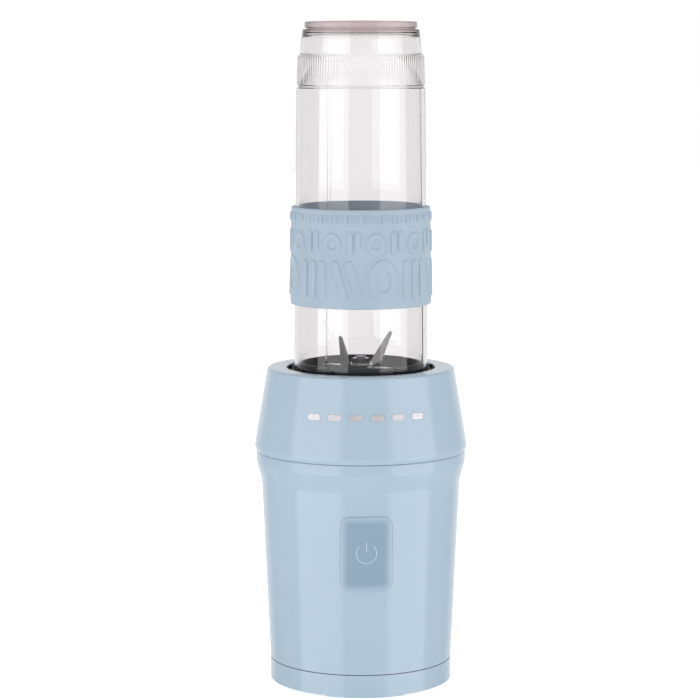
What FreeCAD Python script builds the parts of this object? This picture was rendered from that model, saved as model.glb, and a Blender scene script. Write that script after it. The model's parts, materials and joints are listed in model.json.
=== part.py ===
import FreeCAD, Part
import math
import os
import re
import Sketcher
from FreeCAD import Placement, Rotation, Vector

# Personal bottle blender. Millimetres, +Z up, the feet stand on z = 0, the button faces -Y.
# The bottle stands upside down on its blade unit, which sits in the well of the motor base.

# Driving dimensions: the spreadsheet holds each one once, under the same name.
SIZES = {
    # base, from the table up
    "foot_radius": 7, "foot_inset": 13.4, "foot_height": 2.4,
    "skirt_lift": 1.2, "skirt_top": 13.2, "land_height": 0.7, "land_half": 22,
    "floor_thickness": 2.6, "shell_wall": 2.6, "seam_gap": 0.4, "spigot_height": 4, "part_gap": 0.3,
    "taper_height": 101.3, "taper_spread": 4.6, "flare_height": 14, "flare_spread": 3.2, "band_height": 5.9,
    "collar_height": 47.9, "collar_step": 1, "collar_slope": 7.6, "collar_round": 5,
    "rim_width": 11.1, "rim_round": 1.6, "rim_wall": 2.6, "well_radius": 42.5, "well_wall": 2.5,
    "well_depth": 32.3, "lip_depth": 6, "boss_radius": 3.4, "pilot_radius": 1.3,
    "screw_radius": 1.25, "screw_head": 2.4, "screw_gap": 0.15,
    "case_boss_inset": 5.1, "case_boss_height": 26, "collar_boss_inset": 9.4, "seat_boss_offset": 6.2,
    "vent_circle": 27, "vent_width": 3, "vent_length": 14,
    # power button
    "button_width": 29, "button_height": 42.6, "button_drop": 31.2, "button_round": 5.5,
    "button_proud": 0.7, "button_skin": 2.4, "button_gap": 0.3, "button_travel": 1.6, "bezel_wall": 1.1,
    "board_depth": 10.8, "board_thickness": 1.6, "board_margin": 4.7,
    "switch_size": 9, "switch_depth": 3.6, "plunger_radius": 1.5, "stem_size": 4.6,
    "spring_radius": 7.25, "spring_wire": 0.7, "spring_turns": 4,
    "inlet_level": 24, "cord_radius": 3.5, "inlet_radius": 5.6, "inlet_flange": 8,
    # motor, from the floor up
    "fan_clearance": 12, "fan_radius": 34, "fan_height": 9, "fan_plate": 1.4, "fan_blades": 12, "fan_hub": 7,
    "shaft_radius": 3, "run_gap": 0.05, "bracket_gap": 7, "bracket_thickness": 3.2, "bracket_radius": 35,
    "bearing_radius": 9.5, "bearing_height": 6, "bearing_wall": 2.6,
    "commutator_radius": 9, "commutator_gap": 0.8, "commutator_height": 10,
    "brush_width": 6, "brush_height": 5, "brush_length": 13, "brush_holder_wall": 1.2,
    "winding_radius": 13.4, "winding_height": 6.5, "winding_gap": 2.5,
    "stator_height": 32, "stator_radius": 33.5, "stator_wall": 6.5, "pole_radius": 16.1, "air_gap": 0.6,
    "pole_shoe": 2.1, "pole_half_angle": 52, "pole_width": 14,
    "coil_thickness": 5.2, "coil_side": 4.6, "coil_overhang": 8, "upper_gap": 27,
    "bolt_circle": 30.3, "bolt_radius": 1.6, "leg_radius": 2.9,
    "mount_circle": 33, "mount_radius": 4.2, "mount_height": 3.6,
    # well: lock ring, interlock and couplings
    "ring_lift": 0.5, "ring_height": 3.6, "ring_width": 12.1, "ring_gap": 0.4,
    "peg_width": 8, "peg_height": 6.2, "lock_angle": 20, "plunger_inset": 6.7, "interlock_radius": 1.5,
    "interlock_travel": 2, "interlock_gap": 0.15, "interlock_length": 16,
    "switch_length": 14, "switch_width": 6.4, "switch_case_height": 9.6, "hanger_wall": 2.5,
    "coupling_radius": 13, "coupling_hub": 6, "dog_height": 5.4, "dog_angle": 30, "coupling_plate": 4,
    "coupling_lift": 1.2, "dog_tip_gap": 0.5,
    # blade unit
    "holder_gap": 0.7, "holder_wall": 2.5, "holder_drop": 0.7, "skirt_inset": 2.4, "skirt_gap": 2.3,
    "dish_gap": 1.5, "dish_wall": 2, "dish_height": 14, "dish_plate": 2.5, "coupling_clearance": 0.6,
    "dish_lift": 5.9, "tower_radius": 12, "tower_height": 9,
    "lug_lift": 4, "lug_angle": 16, "lug_height": 4, "tab_height": 2.6, "tab_angle": 26, "lug_gap": 0.4,
    "gasket_height": 1.8, "blade_shaft_radius": 4, "bushing_radius": 7,
    "seal_height": 2.4, "blade_thickness": 1.4, "blade_hub": 9, "blade_bend": 11,
    "wide_blade_length": 22.3, "wide_blade_lift": 51, "steep_blade_length": 19.5, "steep_blade_lift": 70,
    "blade_width": 8.6, "blade_tip": 2, "blade_clearance": 6, "stud_radius": 3,
    "nut_width": 9, "nut_height": 3.2,
    # bottle and sleeve, from the mouth up
    "bottle_wall": 1.7, "mouth_gap": 1.1, "mouth_height": 18.7, "belly_swell": 0.15,
    "body_height": 149.4, "body_taper": 1.75, "bead_size": 0.6, "bead_height": 2,
    "rib_lift": 2.2, "rib_inset": 0.15, "rib_height": 15.8, "rib_draft": 0.5, "rib_count": 130, "rib_depth": 0.45,
    "step_height": 1.6, "step_inset": 1.35, "heel_height": 13.6, "heel_draft": 1.4,
    "disc_inset": 2.2, "disc_gap": 0.8, "disc_step": 1.1, "disc_height": 3.8, "dome_height": 0.7,
    "bottle_floor_thickness": 2.2,
    "sleeve_lift": 27, "sleeve_height": 55.5, "sleeve_wall": 2.3, "sleeve_edge": 0.8,
}

# sizes and levels that follow from the ones above
DERIVED = {
    "rim_outer": "well_radius + rim_width",
    "collar_radius": "rim_outer + collar_slope",
    "shoulder_radius": "collar_radius - collar_step",
    "waist_radius": "shoulder_radius - flare_spread",
    "skirt_radius": "waist_radius - taper_spread",
    "waist_level": "skirt_top + taper_height",
    "shoulder_level": "waist_level + flare_height",
    "collar_level": "shoulder_level + band_height",
    "collar_top": "collar_level + collar_height",
    "housing_level": "skirt_top + seam_gap",
    "floor_top": "foot_height + floor_thickness",
    "foot_circle": "skirt_radius - foot_inset",
    "case_boss_circle": "skirt_radius - case_boss_inset",
    "collar_boss_circle": "shoulder_radius - collar_boss_inset",
    "seat_boss_circle": "well_radius + seat_boss_offset",
    "button_level": "waist_level - button_drop",
    "board_front": "skirt_radius - board_depth",
    "opening_margin": "button_gap + bezel_wall",
    "fan_bottom": "floor_top + fan_clearance",
    "shaft_bottom": "fan_bottom - 2",
    "lower_bracket": "fan_bottom + fan_height + bracket_gap",
    "lower_bearing_level": "lower_bracket + bracket_thickness",
    "commutator_bottom": "lower_bearing_level + bearing_height + commutator_gap",
    "stator_bottom": "commutator_bottom + commutator_height + winding_height + winding_gap",
    "stator_top": "stator_bottom + stator_height",
    "stator_bore": "stator_radius - stator_wall",
    "rotor_radius": "pole_radius - air_gap",
    "upper_bracket": "stator_top + upper_gap",
    "upper_bearing_level": "upper_bracket - bearing_height",
    "mount_top": "upper_bracket + bracket_thickness + mount_height",
    "well_floor": "collar_top - well_depth",
    "well_underside": "well_floor - well_wall",
    "post_length": "well_underside - mount_top",
    "ring_bottom": "well_floor + ring_lift",
    "ring_outer": "well_radius - ring_gap",
    "ring_inner": "ring_outer - ring_width",
    "plunger_circle": "ring_outer - plunger_inset",
    "plunger_top": "ring_bottom + interlock_travel",
    "drive_level": "well_floor + coupling_lift",
    "coupling_top": "drive_level + coupling_plate",
    "driven_level": "coupling_top + dog_height + dog_tip_gap",
    "bushing_level": "driven_level + coupling_plate + coupling_clearance",
    "holder_radius": "well_radius - holder_gap",
    "holder_inside": "holder_radius - holder_wall",
    "holder_top": "collar_top - holder_drop",
    "skirt_wall_radius": "holder_radius - skirt_inset",
    "skirt_bottom": "ring_bottom + ring_height + skirt_gap",
    "lug_level": "skirt_bottom + lug_lift",
    "dish_floor": "driven_level + coupling_plate + dish_lift",
    "dish_top": "dish_floor + dish_height",
    "dish_radius": "mouth_radius - bottle_wall - dish_gap",
    "tower_top": "dish_floor + tower_height",
    "gasket_level": "dish_floor + 0.5",
    "blade_level": "tower_top + seal_height / 2",
    "flat_reach": "dish_radius - dish_wall - blade_clearance",
    "mouth_level": "gasket_level + gasket_height",
    "mouth_radius": "holder_inside - mouth_gap",
    "bead_radius": "mouth_radius + bead_size",
    "belly_radius": "mouth_radius + belly_swell",
    "belly_level": "mouth_level + mouth_height",
    "neck_radius": "belly_radius - body_taper",
    "neck_level": "belly_level + body_height",
    "rib_low_radius": "neck_radius - rib_inset",
    "rib_top_radius": "rib_low_radius - rib_draft",
    "rib_bottom": "neck_level + rib_lift",
    "rib_top": "rib_bottom + rib_height",
    "step_radius": "rib_top_radius - step_inset",
    "step_level": "rib_top + step_height",
    "heel_radius": "step_radius - heel_draft",
    "heel_level": "step_level + heel_height",
    "disc_neck": "heel_radius - disc_inset",
    "disc_radius": "disc_neck + disc_step",
    "disc_level": "heel_level + disc_gap",
    "disc_top": "disc_level + disc_height",
    "bottle_floor": "heel_level - bottle_floor_thickness",
    "sleeve_bottom": "belly_level + sleeve_lift",
    "sleeve_top": "sleeve_bottom + sleeve_height",
}

doc = FreeCAD.newDocument("bottle_blender")
sheet = doc.addObject("Spreadsheet::Sheet", "sizes")
for row, (alias, size) in enumerate(SIZES.items(), start=1):
    sheet.set("A%d" % row, alias)
    sheet.set("B%d" % row, str(size))
    sheet.setAlias("B%d" % row, alias)
doc.recompute()

pieces = {}


# ---------------------------------------------------------------- helpers
def linked(expression):
    """An expression written with bare size names, as the document's expressions need it."""
    def named(word):
        if word[0] in DERIVED:
            return "(" + linked(DERIVED[word[0]]) + ")"
        return "sizes." + word[0] if word[0] in SIZES else word[0]
    return re.sub(r"[a-z_]+", named, str(expression))


def number(expression):
    return float(sheet.evalExpression(linked(expression)))


def bind(thing, **links):
    """Bind properties to expressions; a double underscore in a name stands for a dot."""
    for name, expression in links.items():
        thing.setExpression(name.replace("__", "."), linked(expression))
    return thing


def keep(name, thing):
    """Name one finished sub-part; its label is also its file's name."""
    thing.Label = name
    pieces[name] = thing
    return thing


def place(thing, x="0", y="0", z="0", turn="0", axis=Vector(0, 0, 1)):
    thing.Placement = Placement(Vector(0, 0, 0), Rotation(axis, 1))
    return bind(thing, Placement__Base__x=x, Placement__Base__y=y, Placement__Base__z=z,
                Placement__Rotation__Angle=turn)


def cylinder(radius, bottom, height, x="0", y="0", turn="0", span="360"):
    thing = doc.addObject("Part::Cylinder", "cylinder")
    bind(thing, Radius=radius, Height=height, Angle=span)
    return place(thing, x, y, bottom, turn)


def rod(radius, x, y, z, length):
    """A cylinder along +Y from the given point."""
    thing = doc.addObject("Part::Cylinder", "rod")
    bind(thing, Radius=radius, Height=length)
    return place(thing, x, y, z, "-90", Vector(1, 0, 0))


def block(x, y, z, length, width, height):
    """A box centred on x and y that stands on z."""
    thing = doc.addObject("Part::Box", "block")
    bind(thing, Length=length, Width=width, Height=height)
    return place(thing, "%s - (%s) / 2" % (x, length), "%s - (%s) / 2" % (y, width), z)


def fuse(*shapes):
    thing = doc.addObject("Part::MultiFuse", "fusion")
    thing.Shapes = list(shapes)
    return thing


def cut(base, *tools):
    thing = doc.addObject("Part::Cut", "cut")
    thing.Base = base
    thing.Tool = tools[0] if len(tools) == 1 else fuse(*tools)
    return thing


def common(first, second):
    thing = doc.addObject("Part::Common", "common")
    thing.Base, thing.Tool = first, second
    return thing


def group(*shapes):
    """Separate solids that share one node."""
    thing = doc.addObject("Part::Compound", "group")
    thing.Links = list(shapes)
    return thing


def tube(outer, inner, bottom, height, turn="0", span="360"):
    core = cylinder(inner, "%s - 1" % bottom, "%s + 2" % height, turn=turn, span=span)
    return cut(cylinder(outer, bottom, height, turn=turn, span=span), core)


def around(circle, degrees):
    """The x and y expressions of a point on a circle about the axis."""
    return "(%s) * cos(%s deg)" % (circle, degrees), "(%s) * sin(%s deg)" % (circle, degrees)


def ring_of(count, make, start=0):
    """Make one thing at each of count equal turns."""
    return [make(start + 360 * index / count) for index in range(count)]


def new_body(name):
    return doc.addObject("PartDesign::Body", name)


def origin_feature(body, role):
    return [feature for feature in body.Origin.OriginFeatures if feature.Role == role][0]


def sketch_on(body, plane="XZ_Plane", offset="0", tilt="0"):
    """A sketch on an origin plane of its own body, moved along and tilted about its own y axis."""
    sketch = body.newObject("Sketcher::SketchObject", "sketch")
    sketch.AttachmentSupport = [(origin_feature(body, plane), "")]
    sketch.MapMode = "FlatFace"
    sketch.AttachmentOffset = Placement(Vector(0, 0, 0), Rotation(Vector(0, 1, 0), 1))
    return bind(sketch, AttachmentOffset__Base__z=offset, AttachmentOffset__Rotation__Angle=tilt)


def draw_outline(sketch, outline):
    """A closed outline of straight runs, each corner bound to its two expressions."""
    corners = [Vector(number(x), number(y), 0) for x, y in outline]
    first = sketch.GeometryCount
    for index, corner in enumerate(corners):
        sketch.addGeometry(Part.LineSegment(corner, corners[(index + 1) % len(corners)]))
    for index, (x, y) in enumerate(outline):
        line, following = first + index, first + (index + 1) % len(outline)
        sketch.addConstraint(Sketcher.Constraint("Coincident", line, 2, following, 1))
        for kind, expression, value in (("DistanceX", x, corners[index].x), ("DistanceY", y, corners[index].y)):
            which = sketch.addConstraint(Sketcher.Constraint(kind, -1, 1, line, 1, value))
            sketch.setExpression("Constraints[%d]" % which, linked(expression))
    return sketch


def revolved(name, outline):
    """A body turned about Z from an outline of (radius, height) corners."""
    body = new_body(name)
    feature = body.newObject("PartDesign::Revolution", "turned")
    feature.Profile = draw_outline(sketch_on(body), outline)
    feature.ReferenceAxis = (feature.Profile[0], ["V_Axis"])
    feature.Angle = 360
    doc.recompute()
    return body


def rounded(body, radius, *rings):
    """Round the circular edges that have the given radius and height."""
    base = body.Tip
    names = []
    for index, edge in enumerate(base.Shape.Edges, start=1):
        for ring_radius, level in rings:
            same_radius = hasattr(edge.Curve, "Radius") and abs(edge.Curve.Radius - number(ring_radius)) < 0.01
            if same_radius and abs(edge.BoundBox.ZMax - number(level)) < 0.01 and edge.BoundBox.ZLength < 0.01:
                names.append("Edge%d" % index)
    feature = body.newObject("PartDesign::Fillet", "round")
    feature.Base = (base, names)
    bind(feature, Radius=radius)
    doc.recompute()
    return body


def padded(body, sketch, length, reverse=False):
    feature = body.newObject("PartDesign::Pad", "pad")
    feature.Profile = sketch
    feature.Reversed = reverse
    bind(feature, Length=length)
    doc.recompute()
    return feature


def patterned(body, feature, count):
    pattern = body.newObject("PartDesign::PolarPattern", "pattern")
    pattern.Originals = [feature]
    pattern.Axis = (origin_feature(body, "Z_Axis"), [""])
    pattern.Angle = 360
    bind(pattern, Occurrences=count)
    body.Tip = pattern
    doc.recompute()
    return pattern


def pill_prism(width, height, corner, front, back):
    """A prism along Y with a rounded rectangle in XZ, centred on the button."""
    body = new_body("pill")
    half_width, half_height = "(%s) / 2" % width, "(%s) / 2" % height
    sketch = sketch_on(body, "XZ_Plane", front)
    left, right = "-(%s)" % half_width, half_width
    low, high = "button_level - (%s)" % half_height, "button_level + (%s)" % half_height
    draw_outline(sketch, [(left, low), (right, low), (right, high), (left, high)])
    feature = padded(body, sketch, "%s - (%s)" % (front, back), reverse=True)
    upright = []
    for index, edge in enumerate(feature.Shape.Edges, start=1):
        if edge.BoundBox.YLength > 1:
            upright.append("Edge%d" % index)
    fillet = body.newObject("PartDesign::Fillet", "corners")
    fillet.Base = (feature, upright)
    bind(fillet, Radius=corner)
    doc.recompute()
    return body


# ---------------------------------------------------------------- shared expressions
taper = "taper_spread / taper_height"
switch_base = "plunger_top - interlock_length - interlock_travel - 0.4 - switch_case_height"


def skin_radius(level):
    """The housing's outer radius at a level of its straight taper."""
    return "skirt_radius + (%s - skirt_top) * %s" % (level, taper)


def bottle_radius(level):
    """The bottle's outer radius at a level of its straight taper."""
    return "belly_radius - (%s - belly_level) * body_taper / body_height" % level


# ---------------------------------------------------------------- casing
def make_bottom_cover():
    inner = "skirt_radius - shell_wall"
    shell = revolved("cover_shell", [
        ("0", "foot_height"), (inner, "foot_height"), (inner, "skirt_lift"), ("skirt_radius", "skirt_lift"),
        ("skirt_radius", "skirt_top"), (inner, "skirt_top"), (inner, "floor_top"),
        ("0", "floor_top")])
    land_depth = "skirt_radius - sqrt(skirt_radius ^ 2 - land_half ^ 2)"
    ring = tube("skirt_radius", inner, "skirt_lift - land_height", "land_height")
    lands = [common(ring, block("0", side + " * skirt_radius", "0", "2 * land_half", "4 * (%s)" % land_depth,
                                "skirt_lift")) for side in ("-1", "1")]

    def vent(turn):
        slot = block("vent_circle", "0", "foot_height - 1", "vent_length", "vent_width",
                     "floor_thickness + 2")
        cell = doc.addObject("Part::Compound", "vent")
        cell.Links = [slot]
        return place(cell, turn=str(turn))

    def screw_hole(turn):
        x, y = around("case_boss_circle", turn)
        return cylinder("screw_radius + screw_gap", "0", "skirt_top", x, y)

    tools = ring_of(12, vent, 15) + ring_of(3, screw_hole, 30)
    keep("bottom_cover", cut(fuse(shell, *lands), *tools))


def make_feet():
    for name, turn in (("foot_back_right", 60), ("foot_back_left", 120), ("foot_front_left", 240),
                       ("foot_front_right", 300)):
        foot = revolved(name, [("0", "0"), ("foot_radius", "0"), ("foot_radius", "foot_height"),
                               ("0", "foot_height")])
        rounded(foot, "foot_height / 3", ("foot_radius", "0"))
        x, y = around("foot_circle", turn)
        keep(name, place(foot, x, y))


def make_lower_housing():
    lip = "shoulder_radius - 2 * shell_wall - part_gap"
    shell = revolved("housing_shell", [
        ("skirt_radius - shell_wall - part_gap", "housing_level - spigot_height"),
        ("skirt_radius - shell_wall - part_gap", "housing_level"), ("skirt_radius", "housing_level"),
        ("waist_radius", "waist_level"), ("waist_radius + 0.4", "waist_level + 3.5"),
        ("shoulder_radius", "shoulder_level"), ("shoulder_radius", "collar_level - seam_gap"),
        ("shoulder_radius - shell_wall", "collar_level - seam_gap"),
        ("shoulder_radius - shell_wall", "collar_level - seam_gap + spigot_height"),
        (lip, "collar_level - seam_gap + spigot_height"), (lip, "shoulder_level + 1"),
        ("waist_radius - shell_wall", "waist_level"),
        ("skirt_radius - shell_wall", "housing_level + 5"),
        ("skirt_radius - 2 * shell_wall + 0.4", "housing_level + 3"),
        ("skirt_radius - 2 * shell_wall + 0.4", "housing_level - spigot_height")])
    rounded(shell, "7", ("waist_radius + 0.4", "waist_level + 3.5"))
    rounded(shell, "4", ("shoulder_radius", "shoulder_level"))

    def case_boss(turn):
        x, y = around("case_boss_circle", turn)
        return cylinder("boss_radius", "housing_level", "case_boss_height", x, y)

    def case_pilot(turn):
        x, y = around("case_boss_circle", turn)
        return cylinder("pilot_radius", "housing_level - spigot_height - 1", "case_boss_height", x, y)

    def collar_boss(turn):
        x, y = around("collar_boss_circle", turn)
        return cylinder("boss_radius + 1", "waist_level + 5", "collar_level - waist_level - 5 - seam_gap", x, y)

    def collar_hole(turn):
        x, y = around("collar_boss_circle", turn)
        return cylinder("screw_radius + screw_gap", "waist_level", "collar_level - waist_level + 1", x, y)

    opening = pill_prism("button_width + 2 * opening_margin", "button_height + 2 * opening_margin",
                         "button_round + opening_margin", "skirt_radius + 20", "skirt_radius - 15")
    inlet = rod("inlet_radius", "0", "skirt_radius - 8", "inlet_level", "20")
    solid = fuse(shell, *(ring_of(3, case_boss, 30) + ring_of(3, collar_boss, 90)))
    keep("lower_housing", cut(solid, opening, inlet,
                              *(ring_of(3, case_pilot, 30) + ring_of(3, collar_hole, 90))))


def make_collar():
    inner_wall = "collar_radius - shell_wall"
    shell = revolved("collar_shell", [
        ("shoulder_radius", "collar_level"), ("collar_radius", "collar_level + 3"),
        ("rim_outer", "collar_top"), ("well_radius", "collar_top"), ("well_radius", "collar_top - lip_depth"),
        ("well_radius + well_wall", "collar_top - lip_depth"),
        ("well_radius + well_wall", "collar_top - rim_wall"),
        ("rim_outer - shell_wall", "collar_top - rim_wall"),
        (inner_wall, "collar_level + spigot_height + 3"),
        ("shoulder_radius - shell_wall + part_gap", "collar_level + spigot_height + 1"),
        ("shoulder_radius - shell_wall + part_gap", "collar_level")])
    rounded(shell, "collar_round", ("collar_radius", "collar_level + 3"))
    rounded(shell, "rim_round", ("rim_outer", "collar_top"))
    rounded(shell, "rim_round / 2", ("well_radius", "collar_top"))

    def seat_boss(turn):
        x, y = around("seat_boss_circle", turn)
        return cylinder("boss_radius", "well_floor", "collar_top - well_floor - 1", x, y)

    def seat_pilot(turn):
        x, y = around("seat_boss_circle", turn)
        return cylinder("pilot_radius", "well_floor - 1", "14", x, y)

    def collar_boss(turn):
        x, y = around("collar_boss_circle", turn)
        return cylinder("boss_radius", "collar_level", "collar_top - collar_level - 1", x, y)

    def collar_pilot(turn):
        x, y = around("collar_boss_circle", turn)
        return cylinder("pilot_radius", "collar_level - 1", "16", x, y)

    solid = fuse(shell, *(ring_of(3, seat_boss, 30) + ring_of(3, collar_boss, 90)))
    keep("collar", cut(solid, *(ring_of(3, seat_pilot, 30) + ring_of(3, collar_pilot, 90))))


def make_well():
    """The well that the blade unit stands in, with its three bayonet tabs and the motor's posts."""
    shell = revolved("well_shell", [
        ("bearing_radius", "well_underside"), ("seat_boss_circle + boss_radius", "well_underside"),
        ("seat_boss_circle + boss_radius", "well_floor"), ("well_radius + well_wall", "well_floor"),
        ("well_radius + well_wall", "collar_top - lip_depth"), ("well_radius", "collar_top - lip_depth"),
        ("well_radius", "well_floor"), ("bearing_radius", "well_floor")])

    def tab(turn):
        start = "%s - lug_angle / 2 - 2 - tab_angle" % turn
        return tube("well_radius + 0.5", "skirt_wall_radius + 0.5", "lug_level + lug_height + lug_gap",
                    "tab_height", start, "tab_angle")

    def post(turn):
        x, y = around("mount_circle", turn)
        return cylinder("mount_radius", "mount_top", "post_length", x, y)

    def post_pilot(turn):
        x, y = around("mount_circle", turn)
        return cylinder("pilot_radius", "mount_top - 1", "1 + 0.6 * post_length", x, y)

    def seat_hole(turn):
        x, y = around("seat_boss_circle", turn)
        return cylinder("screw_radius + screw_gap", "well_underside - 1", "well_wall + 2", x, y)

    def collar_clearance(turn):
        x, y = around("collar_boss_circle", turn)
        return cylinder("boss_radius + part_gap", "well_underside - 1", "well_wall + 2", x, y)

    hanger = block("plunger_circle + 3 + (switch_length + hanger_wall) / 2", "0", switch_base, "hanger_wall",
                   "switch_width", "well_underside + 1 - (%s)" % switch_base)
    plunger_hole = cylinder("interlock_radius + run_gap", "well_underside - 1", "well_wall + 2", "plunger_circle")
    solid = fuse(shell, hanger, *(ring_of(3, tab) + ring_of(4, post, 45)))
    keep("bottle_well", cut(solid, plunger_hole, *(ring_of(4, post_pilot, 45) + ring_of(3, seat_hole, 30)
                                                   + ring_of(3, collar_clearance, 90))))
    keep("well_seal", tube("bearing_radius", "shaft_radius + run_gap", "well_underside", "well_wall"))


def screw(x, y, head_level, length):
    """A pan-head screw that points up from its head."""
    return fuse(cylinder("screw_head", "%s - 2" % head_level, "2", x, y),
                cylinder("screw_radius", "%s - 1" % head_level, "%s + 1" % length, x, y))


def make_casing_screws():
    def case_screw(turn):
        return screw(*around("case_boss_circle", turn), "foot_height", "26")

    def collar_screw(turn):
        return screw(*around("collar_boss_circle", turn), "waist_level + 5", "28")

    def seat_screw(turn):
        return screw(*around("seat_boss_circle", turn), "well_underside", "12")

    keep("case_screws", group(*ring_of(3, case_screw, 30)))
    keep("collar_screws", group(*ring_of(3, collar_screw, 90)))
    keep("well_screws", group(*ring_of(3, seat_screw, 30)))


def make_cord_inlet():
    flange = rod("inlet_flange", "0", skin_radius("(inlet_level + inlet_flange)") + " + 0.1", "inlet_level", "1.8")
    barrel = rod("inlet_radius - 0.1", "0", "skirt_radius - 9", "inlet_level", "11")
    bore = rod("cord_radius", "0", "skirt_radius - 12", "inlet_level", "30")
    keep("cord_inlet", cut(fuse(flange, barrel), bore))


# ---------------------------------------------------------------- power button and its board
def skin_ring(proud, thickness):
    """A ring that follows the housing's taper over the button's height."""
    low, high = "(button_level - button_height)", "(button_level + button_height)"
    outer_low, outer_high = skin_radius(low) + " + " + proud, skin_radius(high) + " + " + proud
    return revolved("skin_ring", [
        (outer_low + " - (%s)" % thickness, low), (outer_low, low), (outer_high, high),
        (outer_high + " - (%s)" % thickness, high)])


def softened(face, radius):
    """Round the rim of a button's outer face, the one furthest to the front."""
    doc.recompute()
    outer = min(face.Shape.Faces, key=lambda side: side.CenterOfMass.y)
    rim = [index for index, edge in enumerate(face.Shape.Edges, start=1)
           if any(edge.isSame(other) for other in outer.Edges)]
    fillet = doc.addObject("Part::Fillet", "softened")
    fillet.Base = face
    fillet.Edges = [(index, number(radius), number(radius)) for index in rim]
    return fillet


def make_button():
    face = common(pill_prism("button_width", "button_height", "button_round", "skirt_radius + 20",
                             "skirt_radius - 15"), skin_ring("button_proud", "button_skin"))
    stem_root = skin_radius("button_level") + " - 1"
    stem_end = "board_front + switch_depth + 1.6"
    stem = block("0", "-(%s + %s) / 2" % (stem_root, stem_end), "button_level - stem_size / 2", "stem_size",
                 "%s - (%s)" % (stem_root, stem_end), "stem_size")
    keep("button_cap", fuse(softened(face, "button_proud"), stem))
    outside = pill_prism("button_width + 2 * opening_margin - 0.1",
                         "button_height + 2 * opening_margin - 0.1",
                         "button_round + opening_margin", "skirt_radius + 20", "board_front")
    inside = pill_prism("button_width + 2 * button_gap", "button_height + 2 * button_gap",
                        "button_round + button_gap", "skirt_radius + 21", "board_front - 1")
    keep("button_guide", common(cut(outside, inside), skin_ring("0.25", "20")))
    plunger_reach = "%s - board_front - button_travel - 0.4" % stem_end
    keep("switch_plunger", rod("plunger_radius", "0", "-(%s)" % stem_end, "button_level", plunger_reach))


def make_board():
    front = "-board_front"
    board = block("0", front + " + board_thickness / 2", "button_level - button_height / 2 - board_margin",
                  "button_width + 2 * board_margin - 4.4", "board_thickness", "button_height + 2 * board_margin")
    keep("control_board", board)
    body = block("0", front + " - switch_depth / 2", "button_level - switch_size / 2", "switch_size",
                 "switch_depth", "switch_size")
    keep("start_switch", cut(body, rod("plunger_radius + run_gap", "0", front + " - switch_depth - 1",
                                       "button_level", "switch_depth + 0.9")))


def make_button_spring():
    """A coil spring around the stem, from the board to the back of the button."""
    start = number("-board_front")
    wire = number("spring_wire")
    length = number(skin_radius("button_level") + " + button_proud - button_skin - board_front") - 3.4 * wire
    reach = number("spring_radius")
    coil = Part.makeHelix(length / number("spring_turns"), length, reach)
    corners = [Vector(reach + x * wire / 2, 0, z * wire / 2) for x, z in ((-1, -1), (1, -1), (1, 1), (-1, 1))]
    profile = Part.makePolygon(corners + corners[:1])
    spring = doc.addObject("Part::Feature", "button_spring")
    spring.Shape = Part.Wire(coil.Edges).makePipeShell([profile], True, True)
    spring.Placement = Placement(Vector(0, start - wire, number("button_level")), Rotation(Vector(1, 0, 0), 90))
    keep("button_spring", spring)


# ---------------------------------------------------------------- motor
def make_stator():
    ring = tube("stator_radius", "stator_bore", "stator_bottom", "stator_height")
    parts = [ring]
    for turn in (0, 180):
        start = "%d - pole_half_angle" % turn
        parts.append(tube("pole_radius + pole_shoe", "pole_radius", "stator_bottom", "stator_height", start,
                          "2 * pole_half_angle"))
        side = 1 if turn == 0 else -1
        middle = "%d * (pole_radius + stator_bore + 1.5) / 2" % side
        parts.append(block(middle, "0", "stator_bottom", "stator_bore - pole_radius + 0.5", "pole_width",
                           "stator_height"))

    def bolt_hole(turn):
        x, y = around("bolt_circle", turn)
        return cylinder("bolt_radius + 0.1", "stator_bottom - 1", "stator_height + 2", x, y)

    keep("stator_core", cut(fuse(*parts), *ring_of(4, bolt_hole, 45)))


def make_coils():
    for name, side in (("left_coil", "-1"), ("right_coil", "1")):
        middle = "%s * (pole_radius + pole_shoe + 0.3 + coil_thickness / 2)" % side
        outer = block(middle, "0", "stator_bottom - coil_overhang", "coil_thickness",
                      "pole_width + 2 * coil_side + 0.4", "stator_height + 2 * coil_overhang")
        inner = block(middle, "0", "stator_bottom - 0.2", "coil_thickness + 2", "pole_width + 0.4",
                      "stator_height + 0.4")
        keep(name, cut(outer, inner))


def make_rotor():
    keep("motor_shaft", cylinder("shaft_radius", "shaft_bottom", "coupling_top - 1 - shaft_bottom"))
    keep("rotor_core", tube("rotor_radius", "shaft_radius", "stator_bottom", "stator_height"))
    low = tube("winding_radius", "shaft_radius + 1", "stator_bottom - winding_height", "winding_height")
    high = tube("winding_radius", "shaft_radius + 1", "stator_top", "winding_height")
    keep("rotor_winding", group(low, high))
    keep("commutator", tube("commutator_radius", "shaft_radius", "commutator_bottom", "commutator_height"))


def make_fan():
    body = revolved("cooling_fan", [
        ("shaft_radius", "fan_bottom"), ("fan_hub", "fan_bottom"),
        ("fan_hub", "fan_bottom + fan_height - fan_plate"), ("fan_radius", "fan_bottom + fan_height - fan_plate"),
        ("fan_radius", "fan_bottom + fan_height"), ("shaft_radius", "fan_bottom + fan_height")])
    sketch = draw_outline(sketch_on(body, "XY_Plane", "fan_bottom"), [
        ("fan_hub - 1", "-0.6"), ("fan_radius - 1", "-0.6"), ("fan_radius - 1", "0.6"), ("fan_hub - 1", "0.6")])
    patterned(body, padded(body, sketch, "fan_height - fan_plate / 2"), "fan_blades")
    keep("cooling_fan", body)


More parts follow.
